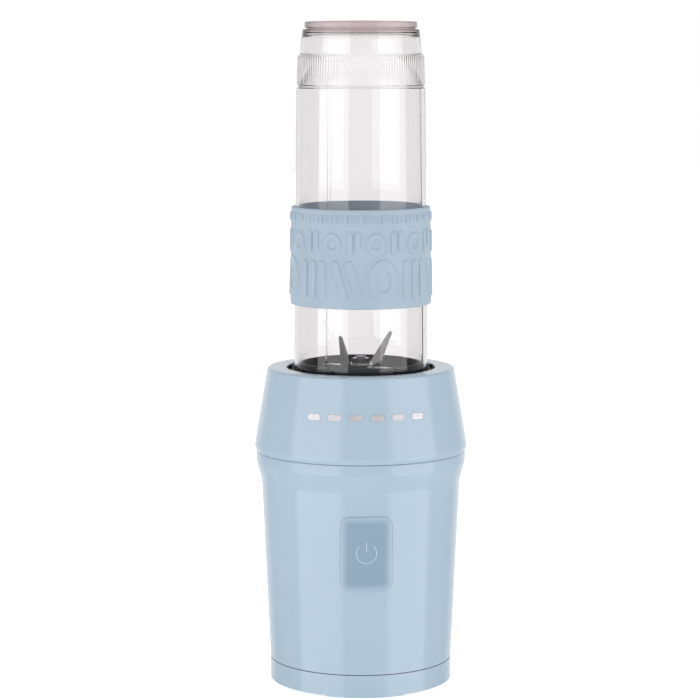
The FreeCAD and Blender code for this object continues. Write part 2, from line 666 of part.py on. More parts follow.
def make_brackets():
    """Two end plates with bearing hubs, held to the stator by legs and long bolts."""
    hub = "bearing_radius + bearing_wall"
    lower = revolved("lower_plate", [
        ("shaft_radius + 1", "lower_bracket"), ("bracket_radius", "lower_bracket"),
        ("bracket_radius", "lower_bearing_level"), (hub, "lower_bearing_level"),
        (hub, "lower_bearing_level + bearing_height"),
        ("bearing_radius", "lower_bearing_level + bearing_height"), ("bearing_radius", "lower_bearing_level"),
        ("shaft_radius + 1", "lower_bearing_level")])
    upper = revolved("upper_plate", [
        ("shaft_radius + 1", "upper_bracket"), ("bearing_radius", "upper_bracket"),
        ("bearing_radius", "upper_bearing_level"), (hub, "upper_bearing_level"), (hub, "upper_bracket"),
        ("bracket_radius + 3", "upper_bracket"), ("bracket_radius + 3", "upper_bracket + bracket_thickness"),
        ("shaft_radius + 1", "upper_bracket + bracket_thickness")])

    def leg(bottom, height):
        return lambda turn: cylinder("leg_radius", bottom, height, *around("bolt_circle", turn))

    def bolt_hole(bottom, height):
        return lambda turn: cylinder("bolt_radius + 0.1", bottom, height, *around("bolt_circle", turn))

    def window(bottom):
        return lambda turn: cylinder("6", bottom, "bracket_thickness + 2", *around("22", turn))

    def mount_hole(turn):
        return cylinder("screw_radius + screw_gap", "upper_bracket - 1", "bracket_thickness + 2",
                        *around("mount_circle + 1.2", turn))

    low_height = "stator_bottom - lower_bearing_level"
    high_height = "upper_bracket - stator_top"
    keep("lower_motor_bracket", cut(
        fuse(lower, *ring_of(4, leg("lower_bearing_level", low_height), 45)),
        *(ring_of(4, bolt_hole("lower_bracket - 1", "stator_bottom"), 45) + ring_of(2, window("lower_bracket - 1")))))
    keep("upper_motor_bracket", cut(
        fuse(upper, *ring_of(4, leg("stator_top", high_height), 45)),
        *(ring_of(4, bolt_hole("stator_top - 1", "upper_gap + bracket_thickness + 2"), 45) + ring_of(4, window("upper_bracket - 1")))))


def make_bearings():
    for name, level in (("lower_bearing", "lower_bearing_level"), ("upper_bearing", "upper_bearing_level")):
        race = "shaft_radius + (bearing_radius - shaft_radius) / 3"
        body = revolved(name, [
            ("shaft_radius", level), (race, level), (race, level + " + 0.5"),
            ("bearing_radius - 2", level + " + 0.5"), ("bearing_radius - 2", level), ("bearing_radius", level),
            ("bearing_radius", level + " + bearing_height"), ("bearing_radius - 2", level + " + bearing_height"),
            ("bearing_radius - 2", level + " + bearing_height - 0.5"), (race, level + " + bearing_height - 0.5"),
            (race, level + " + bearing_height"), ("shaft_radius", level + " + bearing_height")])
        keep(name, body)


def make_brushes():
    middle_level = "commutator_bottom + commutator_height / 2"
    inner = "commutator_radius + run_gap"
    for name, side in (("front", "-1"), ("back", "1")):
        brush_middle = "%s * (%s + brush_length / 2)" % (side, inner)
        keep(name + "_brush", block("0", brush_middle, middle_level + " - brush_height / 2", "brush_width",
                                    "brush_length", "brush_height"))
        holder_middle = "%s * (%s + 4 + brush_length / 2)" % (side, inner)
        outer = block("0", holder_middle, "lower_bearing_level", "brush_width + 2 * brush_holder_wall", "brush_length",
                      middle_level + " + brush_height / 2 + brush_holder_wall - lower_bearing_level")
        passage = block("0", holder_middle, middle_level + " - brush_height / 2", "brush_width",
                        "brush_length + 4", "brush_height")
        keep(name + "_brush_holder", cut(outer, passage))


def make_motor_fixings():
    def bolt(turn):
        x, y = around("bolt_circle", turn)
        shank = cylinder("bolt_radius", "lower_bracket - 0.5", "upper_bracket - lower_bracket", x, y)
        return fuse(shank, cylinder("leg_radius", "lower_bracket - 2.4", "2.4", x, y))

    def mount(turn):
        x, y = around("mount_circle", turn)
        return cylinder("mount_radius", "upper_bracket + bracket_thickness", "mount_height", x, y)

    keep("motor_bolts", group(*ring_of(4, bolt, 45)))
    keep("motor_mounts", group(*ring_of(4, mount, 45)))


# ---------------------------------------------------------------- lock ring, interlock, couplings
def make_lock_ring():
    """The ring that turns with the blade unit; a stepped ramp under it presses the interlock plunger."""
    ring = tube("ring_outer", "ring_inner", "ring_bottom", "ring_height")

    def peg(turn):
        x, y = "(skirt_wall_radius - holder_wall / 2)", "0"
        arm = block(x, y, "ring_bottom + ring_height - 1", "holder_wall - 0.6", "peg_width", "peg_height + 1")
        cell = doc.addObject("Part::Compound", "peg")
        cell.Links = [arm]
        return place(cell, turn=str(turn))

    steps = 6
    tools = []
    for step in range(steps):
        start = 4 * step if step else -4.1
        drop = max(0, 4 * step - 3.6)
        roof = "interlock_travel + interlock_gap - interlock_travel * %s / lock_angle" % drop
        span = "4.1" if step else "8.1"
        tools.append(tube("plunger_circle + interlock_radius + 0.6", "plunger_circle - interlock_radius - 0.6",
                          "ring_bottom - 1", "1 + " + roof, str(start), span))
    keep("lock_ring", cut(fuse(ring, *ring_of(3, peg, 60)), *tools))


def make_interlock():
    pin = cylinder("interlock_radius", "plunger_top - interlock_length", "interlock_length", "plunger_circle")
    keep("interlock_plunger", pin)
    case = block("plunger_circle + 3", "0", switch_base, "switch_length", "switch_width", "switch_case_height")
    keep("interlock_switch", case)


def dogs(bottom, start):
    def dog(turn):
        return tube("coupling_radius - 0.5", "coupling_hub", bottom, "dog_height + 0.5",
                    "%s - dog_angle / 2" % turn, "dog_angle")
    return ring_of(3, dog, start)


def make_couplings():
    drive = tube("coupling_radius", "shaft_radius", "drive_level", "coupling_plate")
    keep("drive_coupling", fuse(drive, *dogs("coupling_top - 0.5", 0)))
    driven = tube("coupling_radius", "blade_shaft_radius", "driven_level", "coupling_plate")
    keep("driven_coupling", fuse(driven, *dogs("driven_level - dog_height", 60)))


# ---------------------------------------------------------------- blade unit
def make_blade_holder():
    shell = revolved("holder_shell", [
        ("bushing_radius", "tower_top"), ("tower_radius", "tower_top"), ("tower_radius", "dish_floor"),
        ("dish_radius - dish_wall", "dish_floor"), ("dish_radius - dish_wall", "dish_top"),
        ("dish_radius", "dish_top"), ("dish_radius", "gasket_level"), ("holder_inside", "gasket_level"),
        ("holder_inside", "holder_top"), ("holder_radius", "holder_top"), ("holder_radius", "dish_floor - 1"),
        ("skirt_wall_radius", "dish_floor - 1"), ("skirt_wall_radius", "skirt_bottom"),
        ("skirt_wall_radius - holder_wall", "skirt_bottom"),
        ("skirt_wall_radius - holder_wall", "dish_floor - dish_plate"), ("tower_radius", "dish_floor - dish_plate"),
        ("tower_radius", "bushing_level"),
        ("bushing_radius", "bushing_level")])
    rounded(shell, "0.8", ("holder_radius", "holder_top"), ("dish_radius", "dish_top"))

    def lug(turn):
        return tube("holder_radius", "skirt_wall_radius - 1", "lug_level", "lug_height",
                    "%s - lug_angle / 2" % turn, "lug_angle")

    def notch(turn):
        slot = block("skirt_wall_radius - holder_wall / 2", "0", "skirt_bottom - 1", "holder_wall + 2",
                     "peg_width + 0.8", "peg_height + ring_bottom + ring_height - skirt_bottom + 1.5")
        cell = doc.addObject("Part::Compound", "notch")
        cell.Links = [slot]
        return place(cell, turn=str(turn))

    def grip(turn):
        x, y = around("holder_radius - holder_wall / 2", turn)
        return cylinder("holder_wall / 2 - 0.2", "holder_top - 3", "4.6", x, y)

    keep("blade_holder", cut(fuse(shell, *(ring_of(3, lug) + ring_of(6, grip, 0))), *ring_of(3, notch, 60)))
    keep("bottle_gasket", tube("holder_inside - 0.1", "dish_radius + 0.1", "gasket_level", "gasket_height"))


def make_blade_bearing():
    keep("blade_bushing", tube("bushing_radius", "blade_shaft_radius + run_gap", "bushing_level",
                               "tower_top - seal_height - bushing_level"))
    keep("blade_seal", tube("bushing_radius", "blade_shaft_radius + run_gap", "tower_top - seal_height",
                            "seal_height"))
    shaft = fuse(cylinder("blade_shaft_radius", "driven_level", "blade_level - driven_level"),
                 cylinder("stud_radius", "blade_level - 1", "2 * blade_thickness + nut_height + 2"))
    keep("blade_shaft", shaft)


def make_blades():
    """Two pressed steel bars, one lying flat and drooping at its tips, one with its arms bent up."""
    low = new_body("lower_blades")
    sketch = sketch_on(low, "XY_Plane", "blade_level")
    half = "blade_width / 2"
    draw_outline(sketch, [
        ("-blade_hub", "-(%s)" % half), ("blade_hub", "-(%s)" % half), ("flat_reach", "blade_tip"),
        ("flat_reach - 2", "blade_tip + 1.6"), ("blade_hub", half), ("-blade_hub", half),
        ("-flat_reach", "-blade_tip"), ("-(flat_reach - 2)", "-(blade_tip + 1.6)")])
    padded(low, sketch, "blade_thickness")
    boss = cylinder("blade_hub", "blade_level", "blade_thickness")
    hole = cylinder("stud_radius", "blade_level - 1", "blade_thickness + 2")
    solid = fuse(low, boss)
    flat = cut(solid, hole)
    keep("lower_blades", place_turned(flat, "-40"))

    level = "blade_level + blade_thickness"
    disc = cut(cylinder("blade_hub", level, "blade_thickness"),
               cylinder("stud_radius", level + " - 1", "blade_thickness + 2"))
    arms = []
    for side, kind in ((0, "wide"), (180, "steep")):
        length = kind + "_blade_length"
        arm = new_body("arm")
        root = sketch_on(arm, "XY_Plane", "0")
        draw_outline(root, [("0", "-(%s)" % half), (length, "blade_tip"),
                            (length + " - 1", "blade_tip + 1.4"), ("0", half)])
        padded(arm, root, "blade_thickness")
        bent = doc.addObject("Part::Compound", "bent")
        bent.Links = [arm]
        place(bent, "blade_bend", "0", level, "-%s_blade_lift" % kind, Vector(0, 1, 0))
        foot = block("(blade_hub + blade_bend) / 2 - 1", "0", level, "blade_bend - blade_hub + 2.6",
                     "blade_width", "blade_thickness")
        arms.append(place_turned(fuse(bent, foot), str(side)))
    keep("upper_blades", place_turned(fuse(disc, *arms), "35"))
    nut_level = level + " + blade_thickness"
    nut = doc.addObject("Part::Prism", "nut")
    nut.Polygon = 6
    bind(nut, Circumradius="nut_width / 2 / cos(30 deg)", Height="nut_height")
    place(nut, z=nut_level)
    keep("blade_nut", cut(nut, cylinder("stud_radius", nut_level + " - 1", "nut_height + 2")))


def place_turned(thing, degrees):
    """The same thing, turned about Z."""
    turned = doc.addObject("Part::Compound", "turned")
    turned.Links = [thing]
    return place(turned, turn=degrees)


# ---------------------------------------------------------------- bottle and sleeve
def make_bottle():
    outline = [
        ("mouth_radius - bottle_wall", "mouth_level"), ("mouth_radius", "mouth_level"),
        ("mouth_radius", "mouth_level + 2.5"), ("bead_radius", "mouth_level + 3"),
        ("bead_radius", "mouth_level + 3 + bead_height"), ("mouth_radius", "mouth_level + 3.5 + bead_height"),
        ("belly_radius", "belly_level"), ("neck_radius", "neck_level"),
        ("neck_radius - 0.5", "neck_level + 0.6"), ("rib_low_radius - rib_depth", "rib_bottom - 0.6"),
        ("rib_low_radius - rib_depth", "rib_bottom"), ("rib_top_radius - rib_depth", "rib_top"),
        ("step_radius", "step_level"), ("heel_radius", "heel_level"), ("disc_neck", "heel_level"),
        ("disc_neck", "disc_level"), ("disc_radius", "disc_level"), ("disc_radius - 0.1", "disc_top"),
        ("0", "disc_top + dome_height"), ("0", "bottle_floor"),
        ("heel_radius - bottle_wall - 3.6", "bottle_floor"), ("heel_radius - bottle_wall", "bottle_floor - 3"),
        ("step_radius - bottle_wall", "step_level"), ("rib_top_radius - rib_depth - bottle_wall", "rib_top - 1.6"),
        ("neck_radius - bottle_wall", "neck_level"), ("belly_radius - bottle_wall", "belly_level")]
    shell = revolved("bottle_shell", outline)
    keep("bottle", fuse(shell, rib_band()))


def rib_band():
    """The fine vertical ribs: a many-pointed prism between two circles of points, drafted upwards."""
    count = int(number("rib_count"))
    rings = []
    for radius, level in (("rib_low_radius", "rib_bottom"), ("rib_top_radius", "rib_top")):
        crest, valley = number(radius), number(radius + " - rib_depth + 0.05")
        points = []
        for index in range(2 * count):
            angle = math.pi * index / count
            reach = crest if index % 2 == 0 else valley
            points.append(Vector(reach * math.cos(angle), reach * math.sin(angle), number(level)))
        rings.append(Part.makePolygon(points + points[:1]))
    solid = Part.makeLoft(rings, True, True)
    bore = Part.makeCone(number("rib_low_radius - bottle_wall + 0.3"), number("rib_top_radius - bottle_wall + 0.3"),
                         number("rib_top - rib_bottom"), Vector(0, 0, number("rib_bottom")))
    band = doc.addObject("Part::Feature", "rib_band")
    band.Shape = solid.cut(bore)
    return band


def make_sleeve():
    bottom, top = "sleeve_bottom", "sleeve_top"
    body = revolved("bottle_sleeve", [
        (bottle_radius(bottom), bottom), (bottle_radius(bottom) + " + sleeve_wall - sleeve_edge", bottom),
        (bottle_radius(bottom) + " + sleeve_wall", bottom + " + 3"),
        (bottle_radius(top) + " + sleeve_wall + 0.3", top + " - 3"),
        (bottle_radius(top) + " + sleeve_wall - sleeve_edge", top), (bottle_radius(top), top)])
    keep("bottle_sleeve", body)


for make in (make_bottom_cover, make_feet, make_lower_housing, make_collar, make_well, make_casing_screws,
             make_cord_inlet, make_button, make_board, make_button_spring, make_stator, make_coils, make_rotor,
             make_fan, make_brackets, make_bearings, make_brushes, make_motor_fixings, make_lock_ring,
             make_interlock, make_couplings, make_blade_holder, make_blade_bearing, make_blades, make_bottle,
             make_sleeve):
    make()

doc.recompute()
failed = [thing.Name for thing in doc.Objects if "Invalid" in thing.State or "Error" in thing.State]
if failed:
    raise RuntimeError("objects that did not compute: " + ", ".join(failed))
for name, thing in pieces.items():
    if thing.Shape.isNull() or not thing.Shape.isValid():
        raise RuntimeError("bad shape: " + name)

os.makedirs("parts", exist_ok=True)
for name, thing in pieces.items():
    thing.Shape.exportStep(os.path.join("parts", name + ".step"))
print(len(pieces), "sub-parts written")
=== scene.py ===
import json
import math

import bmesh
import bpy
import numpy as np
from mathutils import Matrix, Vector


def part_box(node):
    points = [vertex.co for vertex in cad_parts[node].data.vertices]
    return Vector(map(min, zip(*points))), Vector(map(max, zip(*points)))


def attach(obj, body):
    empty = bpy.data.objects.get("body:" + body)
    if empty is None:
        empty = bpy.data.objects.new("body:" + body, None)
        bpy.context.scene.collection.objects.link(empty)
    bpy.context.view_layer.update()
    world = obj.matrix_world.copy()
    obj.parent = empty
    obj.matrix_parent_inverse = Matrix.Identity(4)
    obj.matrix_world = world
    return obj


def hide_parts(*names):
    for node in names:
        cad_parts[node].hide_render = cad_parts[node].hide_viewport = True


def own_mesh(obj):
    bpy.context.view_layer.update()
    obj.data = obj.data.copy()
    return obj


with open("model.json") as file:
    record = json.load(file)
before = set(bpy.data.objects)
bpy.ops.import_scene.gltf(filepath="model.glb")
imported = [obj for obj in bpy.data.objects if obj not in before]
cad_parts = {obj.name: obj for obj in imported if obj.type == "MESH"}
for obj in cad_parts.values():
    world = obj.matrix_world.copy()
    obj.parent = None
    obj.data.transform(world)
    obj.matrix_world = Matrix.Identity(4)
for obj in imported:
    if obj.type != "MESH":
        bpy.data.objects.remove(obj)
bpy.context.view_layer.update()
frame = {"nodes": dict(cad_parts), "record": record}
nodes = frame["nodes"]
mm = 0.001
print("frame loaded:", len(nodes), "CAD nodes")


class Flow:
    # a shader socket that takes part in Python sums
    def __init__(self, tree, socket):
        self.tree, self.socket = tree, socket

    def sum(self, operation, first, second=None, third=None):
        node = self.tree.nodes.new("ShaderNodeMath")
        node.operation = operation
        for slot, value in zip(node.inputs, (first, second, third)):
            if isinstance(value, Flow):
                self.tree.links.new(value.socket, slot)
            elif value is not None:
                slot.default_value = value
        return Flow(self.tree, node.outputs[0])

    def __add__(self, other):
        return self.sum("ADD", self, other)

    def __sub__(self, other):
        return self.sum("SUBTRACT", self, other)

    def __rsub__(self, other):
        return self.sum("SUBTRACT", other, self)

    def __mul__(self, other):
        return self.sum("MULTIPLY", self, other)

    def __truediv__(self, other):
        return self.sum("DIVIDE", self, other)


class NodeBench:
    # adds nodes to a tree: settings first, then values or links for the sockets
    def __init__(self, tree):
        self.tree = tree

    def add(self, kind, settings=None, sockets=None, out=0):
        node = self.tree.nodes.new(kind)
        for key, value in (settings or {}).items():
            setattr(node, key, value)
        found = {slot.name: slot for slot in reversed(node.inputs)}
        found.update({slot.identifier: slot for slot in node.inputs})
        for key, value in (sockets or {}).items():
            slot = node.inputs[key] if isinstance(key, int) else found[key]
            if isinstance(value, Flow):
                self.tree.links.new(value.socket, slot)
            else:
                slot.default_value = value
        outs = {slot.name: slot for slot in reversed(node.outputs)}
        outs.update({slot.identifier: slot for slot in node.outputs})
        return Flow(self.tree, node.outputs[0] if out == 0 else outs[out])

    def parts(self, vector):
        parted = self.add("ShaderNodeSeparateXYZ", sockets={"Vector": vector})
        return [Flow(self.tree, socket) for socket in parted.socket.node.outputs]


class Finish(NodeBench):
    # one material: a Principled shader and whatever feeds it
    def __init__(self, name, **settings):
        self.material = bpy.data.materials.new(name)
        self.material.use_nodes = True
        super().__init__(self.material.node_tree)
        self.tree.nodes.clear()
        self.output = self.tree.nodes.new("ShaderNodeOutputMaterial")
        self.shader = self.tree.nodes.new("ShaderNodeBsdfPrincipled")
        self.tree.links.new(self.shader.outputs[0], self.output.inputs["Surface"])
        for socket, value in settings.items():
            self.set(socket.replace("_", " "), value)

    def set(self, socket, value):
        target = self.shader.inputs[socket]
        if isinstance(value, Flow):
            self.tree.links.new(value.socket, target)
        else:
            target.default_value = (*value, 1) if isinstance(value, tuple) and len(value) == 3 else value

    def place(self):
        return self.add("ShaderNodeTexCoord", out="Object")

    def axes(self):
        return self.parts(self.place())

    def noise(self, scale, detail=2.0, stretch=None, roughness=0.5):
        vector = self.place()
        if stretch:
            vector = self.add("ShaderNodeMapping", sockets={"Vector": vector, "Scale": stretch})
        return self.add("ShaderNodeTexNoise", sockets={
            "Vector": vector, "Scale": scale, "Detail": detail, "Roughness": roughness})

    def blend(self, share, first, second):
        return self.add("ShaderNodeMix", {"data_type": "RGBA"}, {
            "Factor_Float": share, "A_Color": (*first, 1), "B_Color": (*second, 1)}, out="Result_Color")

    def ramp(self, value, low, high, fromLow=0.0, fromHigh=1.0):
        return self.add("ShaderNodeMapRange", {"interpolation_type": "SMOOTHSTEP"}, {
            "Value": value, "From Min": fromLow, "From Max": fromHigh, "To Min": low, "To Max": high})

    def paint(self, value, first, second, fromLow=0.3, fromHigh=0.7):
        # a base colour between two, as the value says
        self.set("Base Color", self.blend(self.ramp(value, 0, 1, fromLow, fromHigh), first, second))

    def polish(self, value, low, high):
        self.set("Roughness", self.ramp(value, low, high, 0.3, 0.7))

    def bump(self, height, depth):
        self.set("Normal", self.add("ShaderNodeBump", sockets={"Height": height, "Distance": depth}))


def shade(colour, share, lift=0.0):
    return tuple(min(1, channel * share + lift) for channel in colour)


def mouldedPlastic(name, colour, roughness=0.3, grain=0.01 * mm, spread=0.03, **settings):
    # injection moulded plastic: a faint flow variation in colour and a fine surface grain
    finish = Finish(name, **settings)
    finish.paint(finish.noise(18, 3), shade(colour, 1 - spread), shade(colour, 1 + spread))
    finish.polish(finish.noise(160, 4), roughness * 0.88, roughness * 1.12)
    finish.bump(finish.noise(2600, 3), grain)
    return finish.material


def glossBlue():
    return mouldedPlastic("glossBluePlastic", (0.330, 0.420, 0.503), roughness=0.16,
                          grain=0.0016 * mm, spread=0.012, IOR=1.5)


def siliconeBlue():
    finish = Finish("siliconeBlue", Sheen_Weight=0.12, Sheen_Roughness=0.5)
    finish.paint(finish.noise(60, 4), (0.290, 0.370, 0.444), (0.306, 0.389, 0.466))
    finish.polish(finish.noise(420, 3), 0.5, 0.62)
    finish.bump(finish.noise(3800, 4, roughness=0.7), 0.02 * mm)
    return finish.material


def buttonBlue(low, high):
    # the cap is a little translucent; its lighter rim is painted light that stands in for light coming
    # through its thin edge
    finish = Finish("buttonPlastic", IOR=1.5)
    across, _, up = finish.axes()
    middle = (low + high) / 2
    halfWidth, halfHeight = (high.x - low.x) / 2, (high.z - low.z) / 2
    fromSide = halfWidth - finish.add("ShaderNodeMath", {"operation": "ABSOLUTE"}, {0: across - middle.x})
    fromEnd = halfHeight - finish.add("ShaderNodeMath", {"operation": "ABSOLUTE"}, {0: up - middle.z})
    fromRim = finish.add("ShaderNodeMath", {"operation": "SMOOTH_MIN"}, {
        0: fromSide, 1: fromEnd, 2: 4 * mm})
    cloud = finish.noise(50, 3) * 0.05
    share = finish.ramp(fromRim, 0, 1, 0.3 * mm, 4.5 * mm) - cloud
    # painted glow: the rim colour is lighter than the middle colour, blended by distance from the rim
    finish.set("Base Color", finish.blend(share, (0.30, 0.385, 0.475), (0.215, 0.30, 0.385)))
    finish.polish(finish.noise(160, 3), 0.17, 0.20)
    finish.bump(finish.noise(2600, 3), 0.0012 * mm)
    return finish.material


def clearCopolyester():
    # clear copolyester: its faint warm tint builds up where light runs along the wall
    finish = Finish("clearCopolyester", Transmission_Weight=1.0, IOR=1.44)
    finish.paint(finish.noise(9, 2), (0.972, 0.964, 0.967), (0.984, 0.977, 0.980))
    finish.polish(finish.noise(45, 3), 0.0, 0.012)
    tint = finish.tree.nodes.new("ShaderNodeVolumeAbsorption")
    tint.inputs["Color"].default_value = (0.46, 0.20, 0.24, 1)
    tint.inputs["Density"].default_value = 13.0
    finish.tree.links.new(tint.outputs[0], finish.output.inputs["Volume"])
    return finish.material


def groundSteel():
    # fine grinding lines that run across the blade
    colour, roughness = (0.44, 0.44, 0.45), 0.24
    finish = Finish("groundSteel", Metallic=1.0, Anisotropic=0.4)
    lines = finish.noise(900, 3, stretch=(1.0, 0.06, 1.0))
    finish.paint(lines, shade(colour, 0.82), colour)
    finish.polish(finish.noise(70, 4), roughness * 0.8, roughness * 1.3)
    finish.bump(lines, 0.004 * mm)
    return finish.material


def satinTrim():
    # satin plating on plastic, so its glints stay soft
    finish = Finish("satinTrim", Metallic=0.55, IOR=1.6)
    grain = finish.noise(700, 3, stretch=(0.15, 1.0, 1.0))
    finish.paint(grain, (0.54, 0.53, 0.56), (0.66, 0.64, 0.67))
    finish.polish(finish.noise(180, 3), 0.42, 0.55)
    finish.bump(grain, 0.004 * mm)
    return finish.material


def platedSteel():
    colour = (0.68, 0.68, 0.66)
    finish = Finish("platedSteel", Metallic=1.0)
    stain = finish.noise(140, 5)
    finish.paint(stain, shade(colour, 0.85), colour, 0.35, 0.65)
    finish.polish(finish.noise(320, 4), 0.2, 0.36)
    finish.bump(finish.noise(1500, 3), 0.004 * mm)
    return finish.material


def laminatedSteel():
    # thin oxidised sheets, seen as lines along the stack
    finish = Finish("laminatedSteel", Metallic=0.85)
    sheets = finish.add("ShaderNodeTexWave", {"bands_direction": "Z"}, {
        "Vector": finish.place(), "Scale": 620.0, "Distortion": 0.2, "Detail": 1.0}, out="Fac")
    finish.set("Base Color", finish.blend(sheets, (0.10, 0.10, 0.11), (0.26, 0.26, 0.28)))
    finish.polish(finish.noise(300, 3), 0.4, 0.6)
    finish.bump(sheets, 0.05 * mm)
    return finish.material


def woundCopper():
    # enamelled wire laid side by side
    finish = Finish("woundCopper", Metallic=0.9, Coat_Weight=0.6, Coat_Roughness=0.15)
    turns = finish.add("ShaderNodeTexWave", {"bands_direction": "DIAGONAL"}, {
        "Vector": finish.place(), "Scale": 240.0, "Distortion": 0.6, "Detail": 1.0}, out="Fac")
    finish.set("Base Color", finish.blend(turns, (0.24, 0.07, 0.03), (0.62, 0.24, 0.10)))
    finish.polish(finish.noise(200, 3), 0.25, 0.4)
    finish.bump(turns, 0.15 * mm)
    return finish.material


def sinteredBronze():
    finish = Finish("sinteredBronze", Metallic=0.9)
    pores = finish.noise(1500, 5, roughness=0.7)
    finish.paint(pores, (0.20, 0.12, 0.05), (0.52, 0.36, 0.17), 0.35, 0.6)
    finish.polish(finish.noise(180, 3), 0.35, 0.5)
    finish.bump(pores, 0.03 * mm)
    return finish.material


def circuitBoard():
    # green solder mask with the faint weave of the laminate under it
    finish = Finish("circuitBoard", Coat_Weight=0.4, Coat_Roughness=0.2)
    weave = finish.add("ShaderNodeTexChecker", sockets={
        "Vector": finish.place(), "Scale": 1400.0}, out="Fac")
    tracks = finish.ramp(finish.noise(120, 1), 0, 1, 0.48, 0.52)
    finish.set("Base Color", finish.blend(tracks, (0.012, 0.10, 0.04), (0.03, 0.20, 0.08)))
    finish.polish(finish.noise(500, 2), 0.3, 0.42)
    finish.bump(weave + tracks * 3, 0.01 * mm)
    return finish.material


def softRubber(name, colour, roughness=0.6):
    finish = Finish(name)
    dust = finish.noise(220, 5)
    finish.paint(dust, colour, shade(colour, 1.5, 0.01), 0.4, 0.7)
    finish.polish(finish.noise(500, 3), roughness * 0.9, roughness * 1.15)
    finish.bump(finish.noise(2400, 4, roughness=0.7), 0.03 * mm)
    return finish.material


finishes = {
    "base_plastic": glossBlue(),
    "silicone": siliconeBlue(),
    "button_plastic": buttonBlue(*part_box("button_cap")),
    "clear": clearCopolyester(),
    "black_plastic": mouldedPlastic("blackPlastic", (0.006, 0.006, 0.007), 0.42, 0.004 * mm, 0.25,
                                    Specular_IOR_Level=0.03),
    "inner_plastic": mouldedPlastic("creamPlastic", (0.62, 0.60, 0.55), 0.45, 0.02 * mm, 0.05),
    "rubber": softRubber("blackRubber", (0.018, 0.018, 0.018)),
    "seal": softRubber("greySeal", (0.32, 0.32, 0.31), 0.5),
    "steel": groundSteel(),
    "zinc": platedSteel(),
    "lamination": laminatedSteel(),
    "copper": woundCopper(),
    "bronze": sinteredBronze(),
    "carbon": softRubber("carbonBlock", (0.03, 0.03, 0.032), 0.45),
    "board": circuitBoard(),
}
brightTrim = satinTrim()
markPaint = mouldedPlastic("paleMark", (0.46, 0.54, 0.62), 0.35, 0.004 * mm, 0.03)
slotOf = {part["node"]: part["material_slot"] for part in frame["record"]["subparts"]}
for name, node in nodes.items():
    node.data.materials.clear()
    node.data.materials.append(finishes[slotOf[name]])
print("finishes made:", len(finishes))


def addObject(name, data):
    thing = bpy.data.objects.new(name, data)
    bpy.context.scene.collection.objects.link(thing)
    return thing


def newPiece(name, verts, faces, slot, body, sharpAngle=40):
    mesh = bpy.data.meshes.new(name)
    mesh.from_pydata([tuple(v) for v in verts], [], faces)
    mesh.validate()
    mesh.materials.append(finishes[slot])
    piece = addObject(name, mesh)
    mesh.shade_smooth()
    mesh.set_sharp_from_angle(angle=math.radians(sharpAngle))
    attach(piece, body)
    return piece


def roundedOutline(corners, steps=5):
    # each corner is (radius, height, rounding); a rounding becomes an arc that touches both runs
    points = []
    count = len(corners)
    for index, (r, z, rounding) in enumerate(corners):
        here = Vector((r, z))
        before, after = Vector(corners[index - 1][:2]), Vector(corners[(index + 1) % count][:2])
        if not rounding:
            points.append(here)
            continue
        back, ahead = (before - here).normalized(), (after - here).normalized()
        halfTurn = math.acos(max(-1, min(1, back.dot(ahead)))) / 2
        reach = rounding / math.tan(halfTurn)
        limit = 0.49 * min((before - here).length, (after - here).length)
        reach = min(reach, limit)
        centre = here + (back + ahead).normalized() * (reach / math.cos(halfTurn))
        first, last = here + back * reach - centre, here + ahead * reach - centre
        sweep = first.angle_signed(last)
        for step in range(steps + 1):
            points.append(centre + Matrix.Rotation(-sweep * step / steps, 2) @ first)
    return points


def lathe(outline, angles, radiusAt=None):
    # turns a closed outline (or one that starts and ends on the axis) about Z
    verts, faces = [], []
    rows = []
    for row, point in enumerate(outline):
        if point.x < 1e-7:
            rows.append([len(verts)])
            verts.append((0, 0, point.y))
            continue
        rows.append(range(len(verts), len(verts) + len(angles)))
        for angle in angles:
            radius = radiusAt(row, point, angle) if radiusAt else point.x
            verts.append((radius * math.cos(angle), radius * math.sin(angle), point.y))
    turns = len(angles)
    for row in range(len(rows)):
        low, high = rows[row], rows[(row + 1) % len(rows)]
        if len(low) == 1 and len(high) == 1:
            continue
        for step in range(turns):
            following = (step + 1) % turns
            if len(low) == 1:
                faces.append((low[0], high[following], high[step]))
            elif len(high) == 1:
                faces.append((low[step], low[following], high[0]))
            else:
                faces.append((low[step], low[following], high[following], high[step]))
    return verts, faces


def evenAngles(count):
    return [2 * math.pi * step / count for step in range(count)]


def smoothCopy(node, body, sharpAngle=35):
    # a copy of a CAD node's mesh with its loose triangles merged, so that it can be shaded smoothly
    mesh = nodes[node].data.copy()
    piece = addObject(node + "_finished", mesh)
    work = bmesh.new()
    work.from_mesh(mesh)
    bmesh.ops.remove_doubles(work, verts=work.verts, dist=0.001 * mm)
    bmesh.ops.dissolve_degenerate(work, edges=work.edges, dist=0.001 * mm)
    work.to_mesh(mesh)
    work.free()
    mesh.shade_smooth()
    mesh.set_sharp_from_angle(angle=math.radians(sharpAngle))
    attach(piece, body)
    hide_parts(node)
    return piece


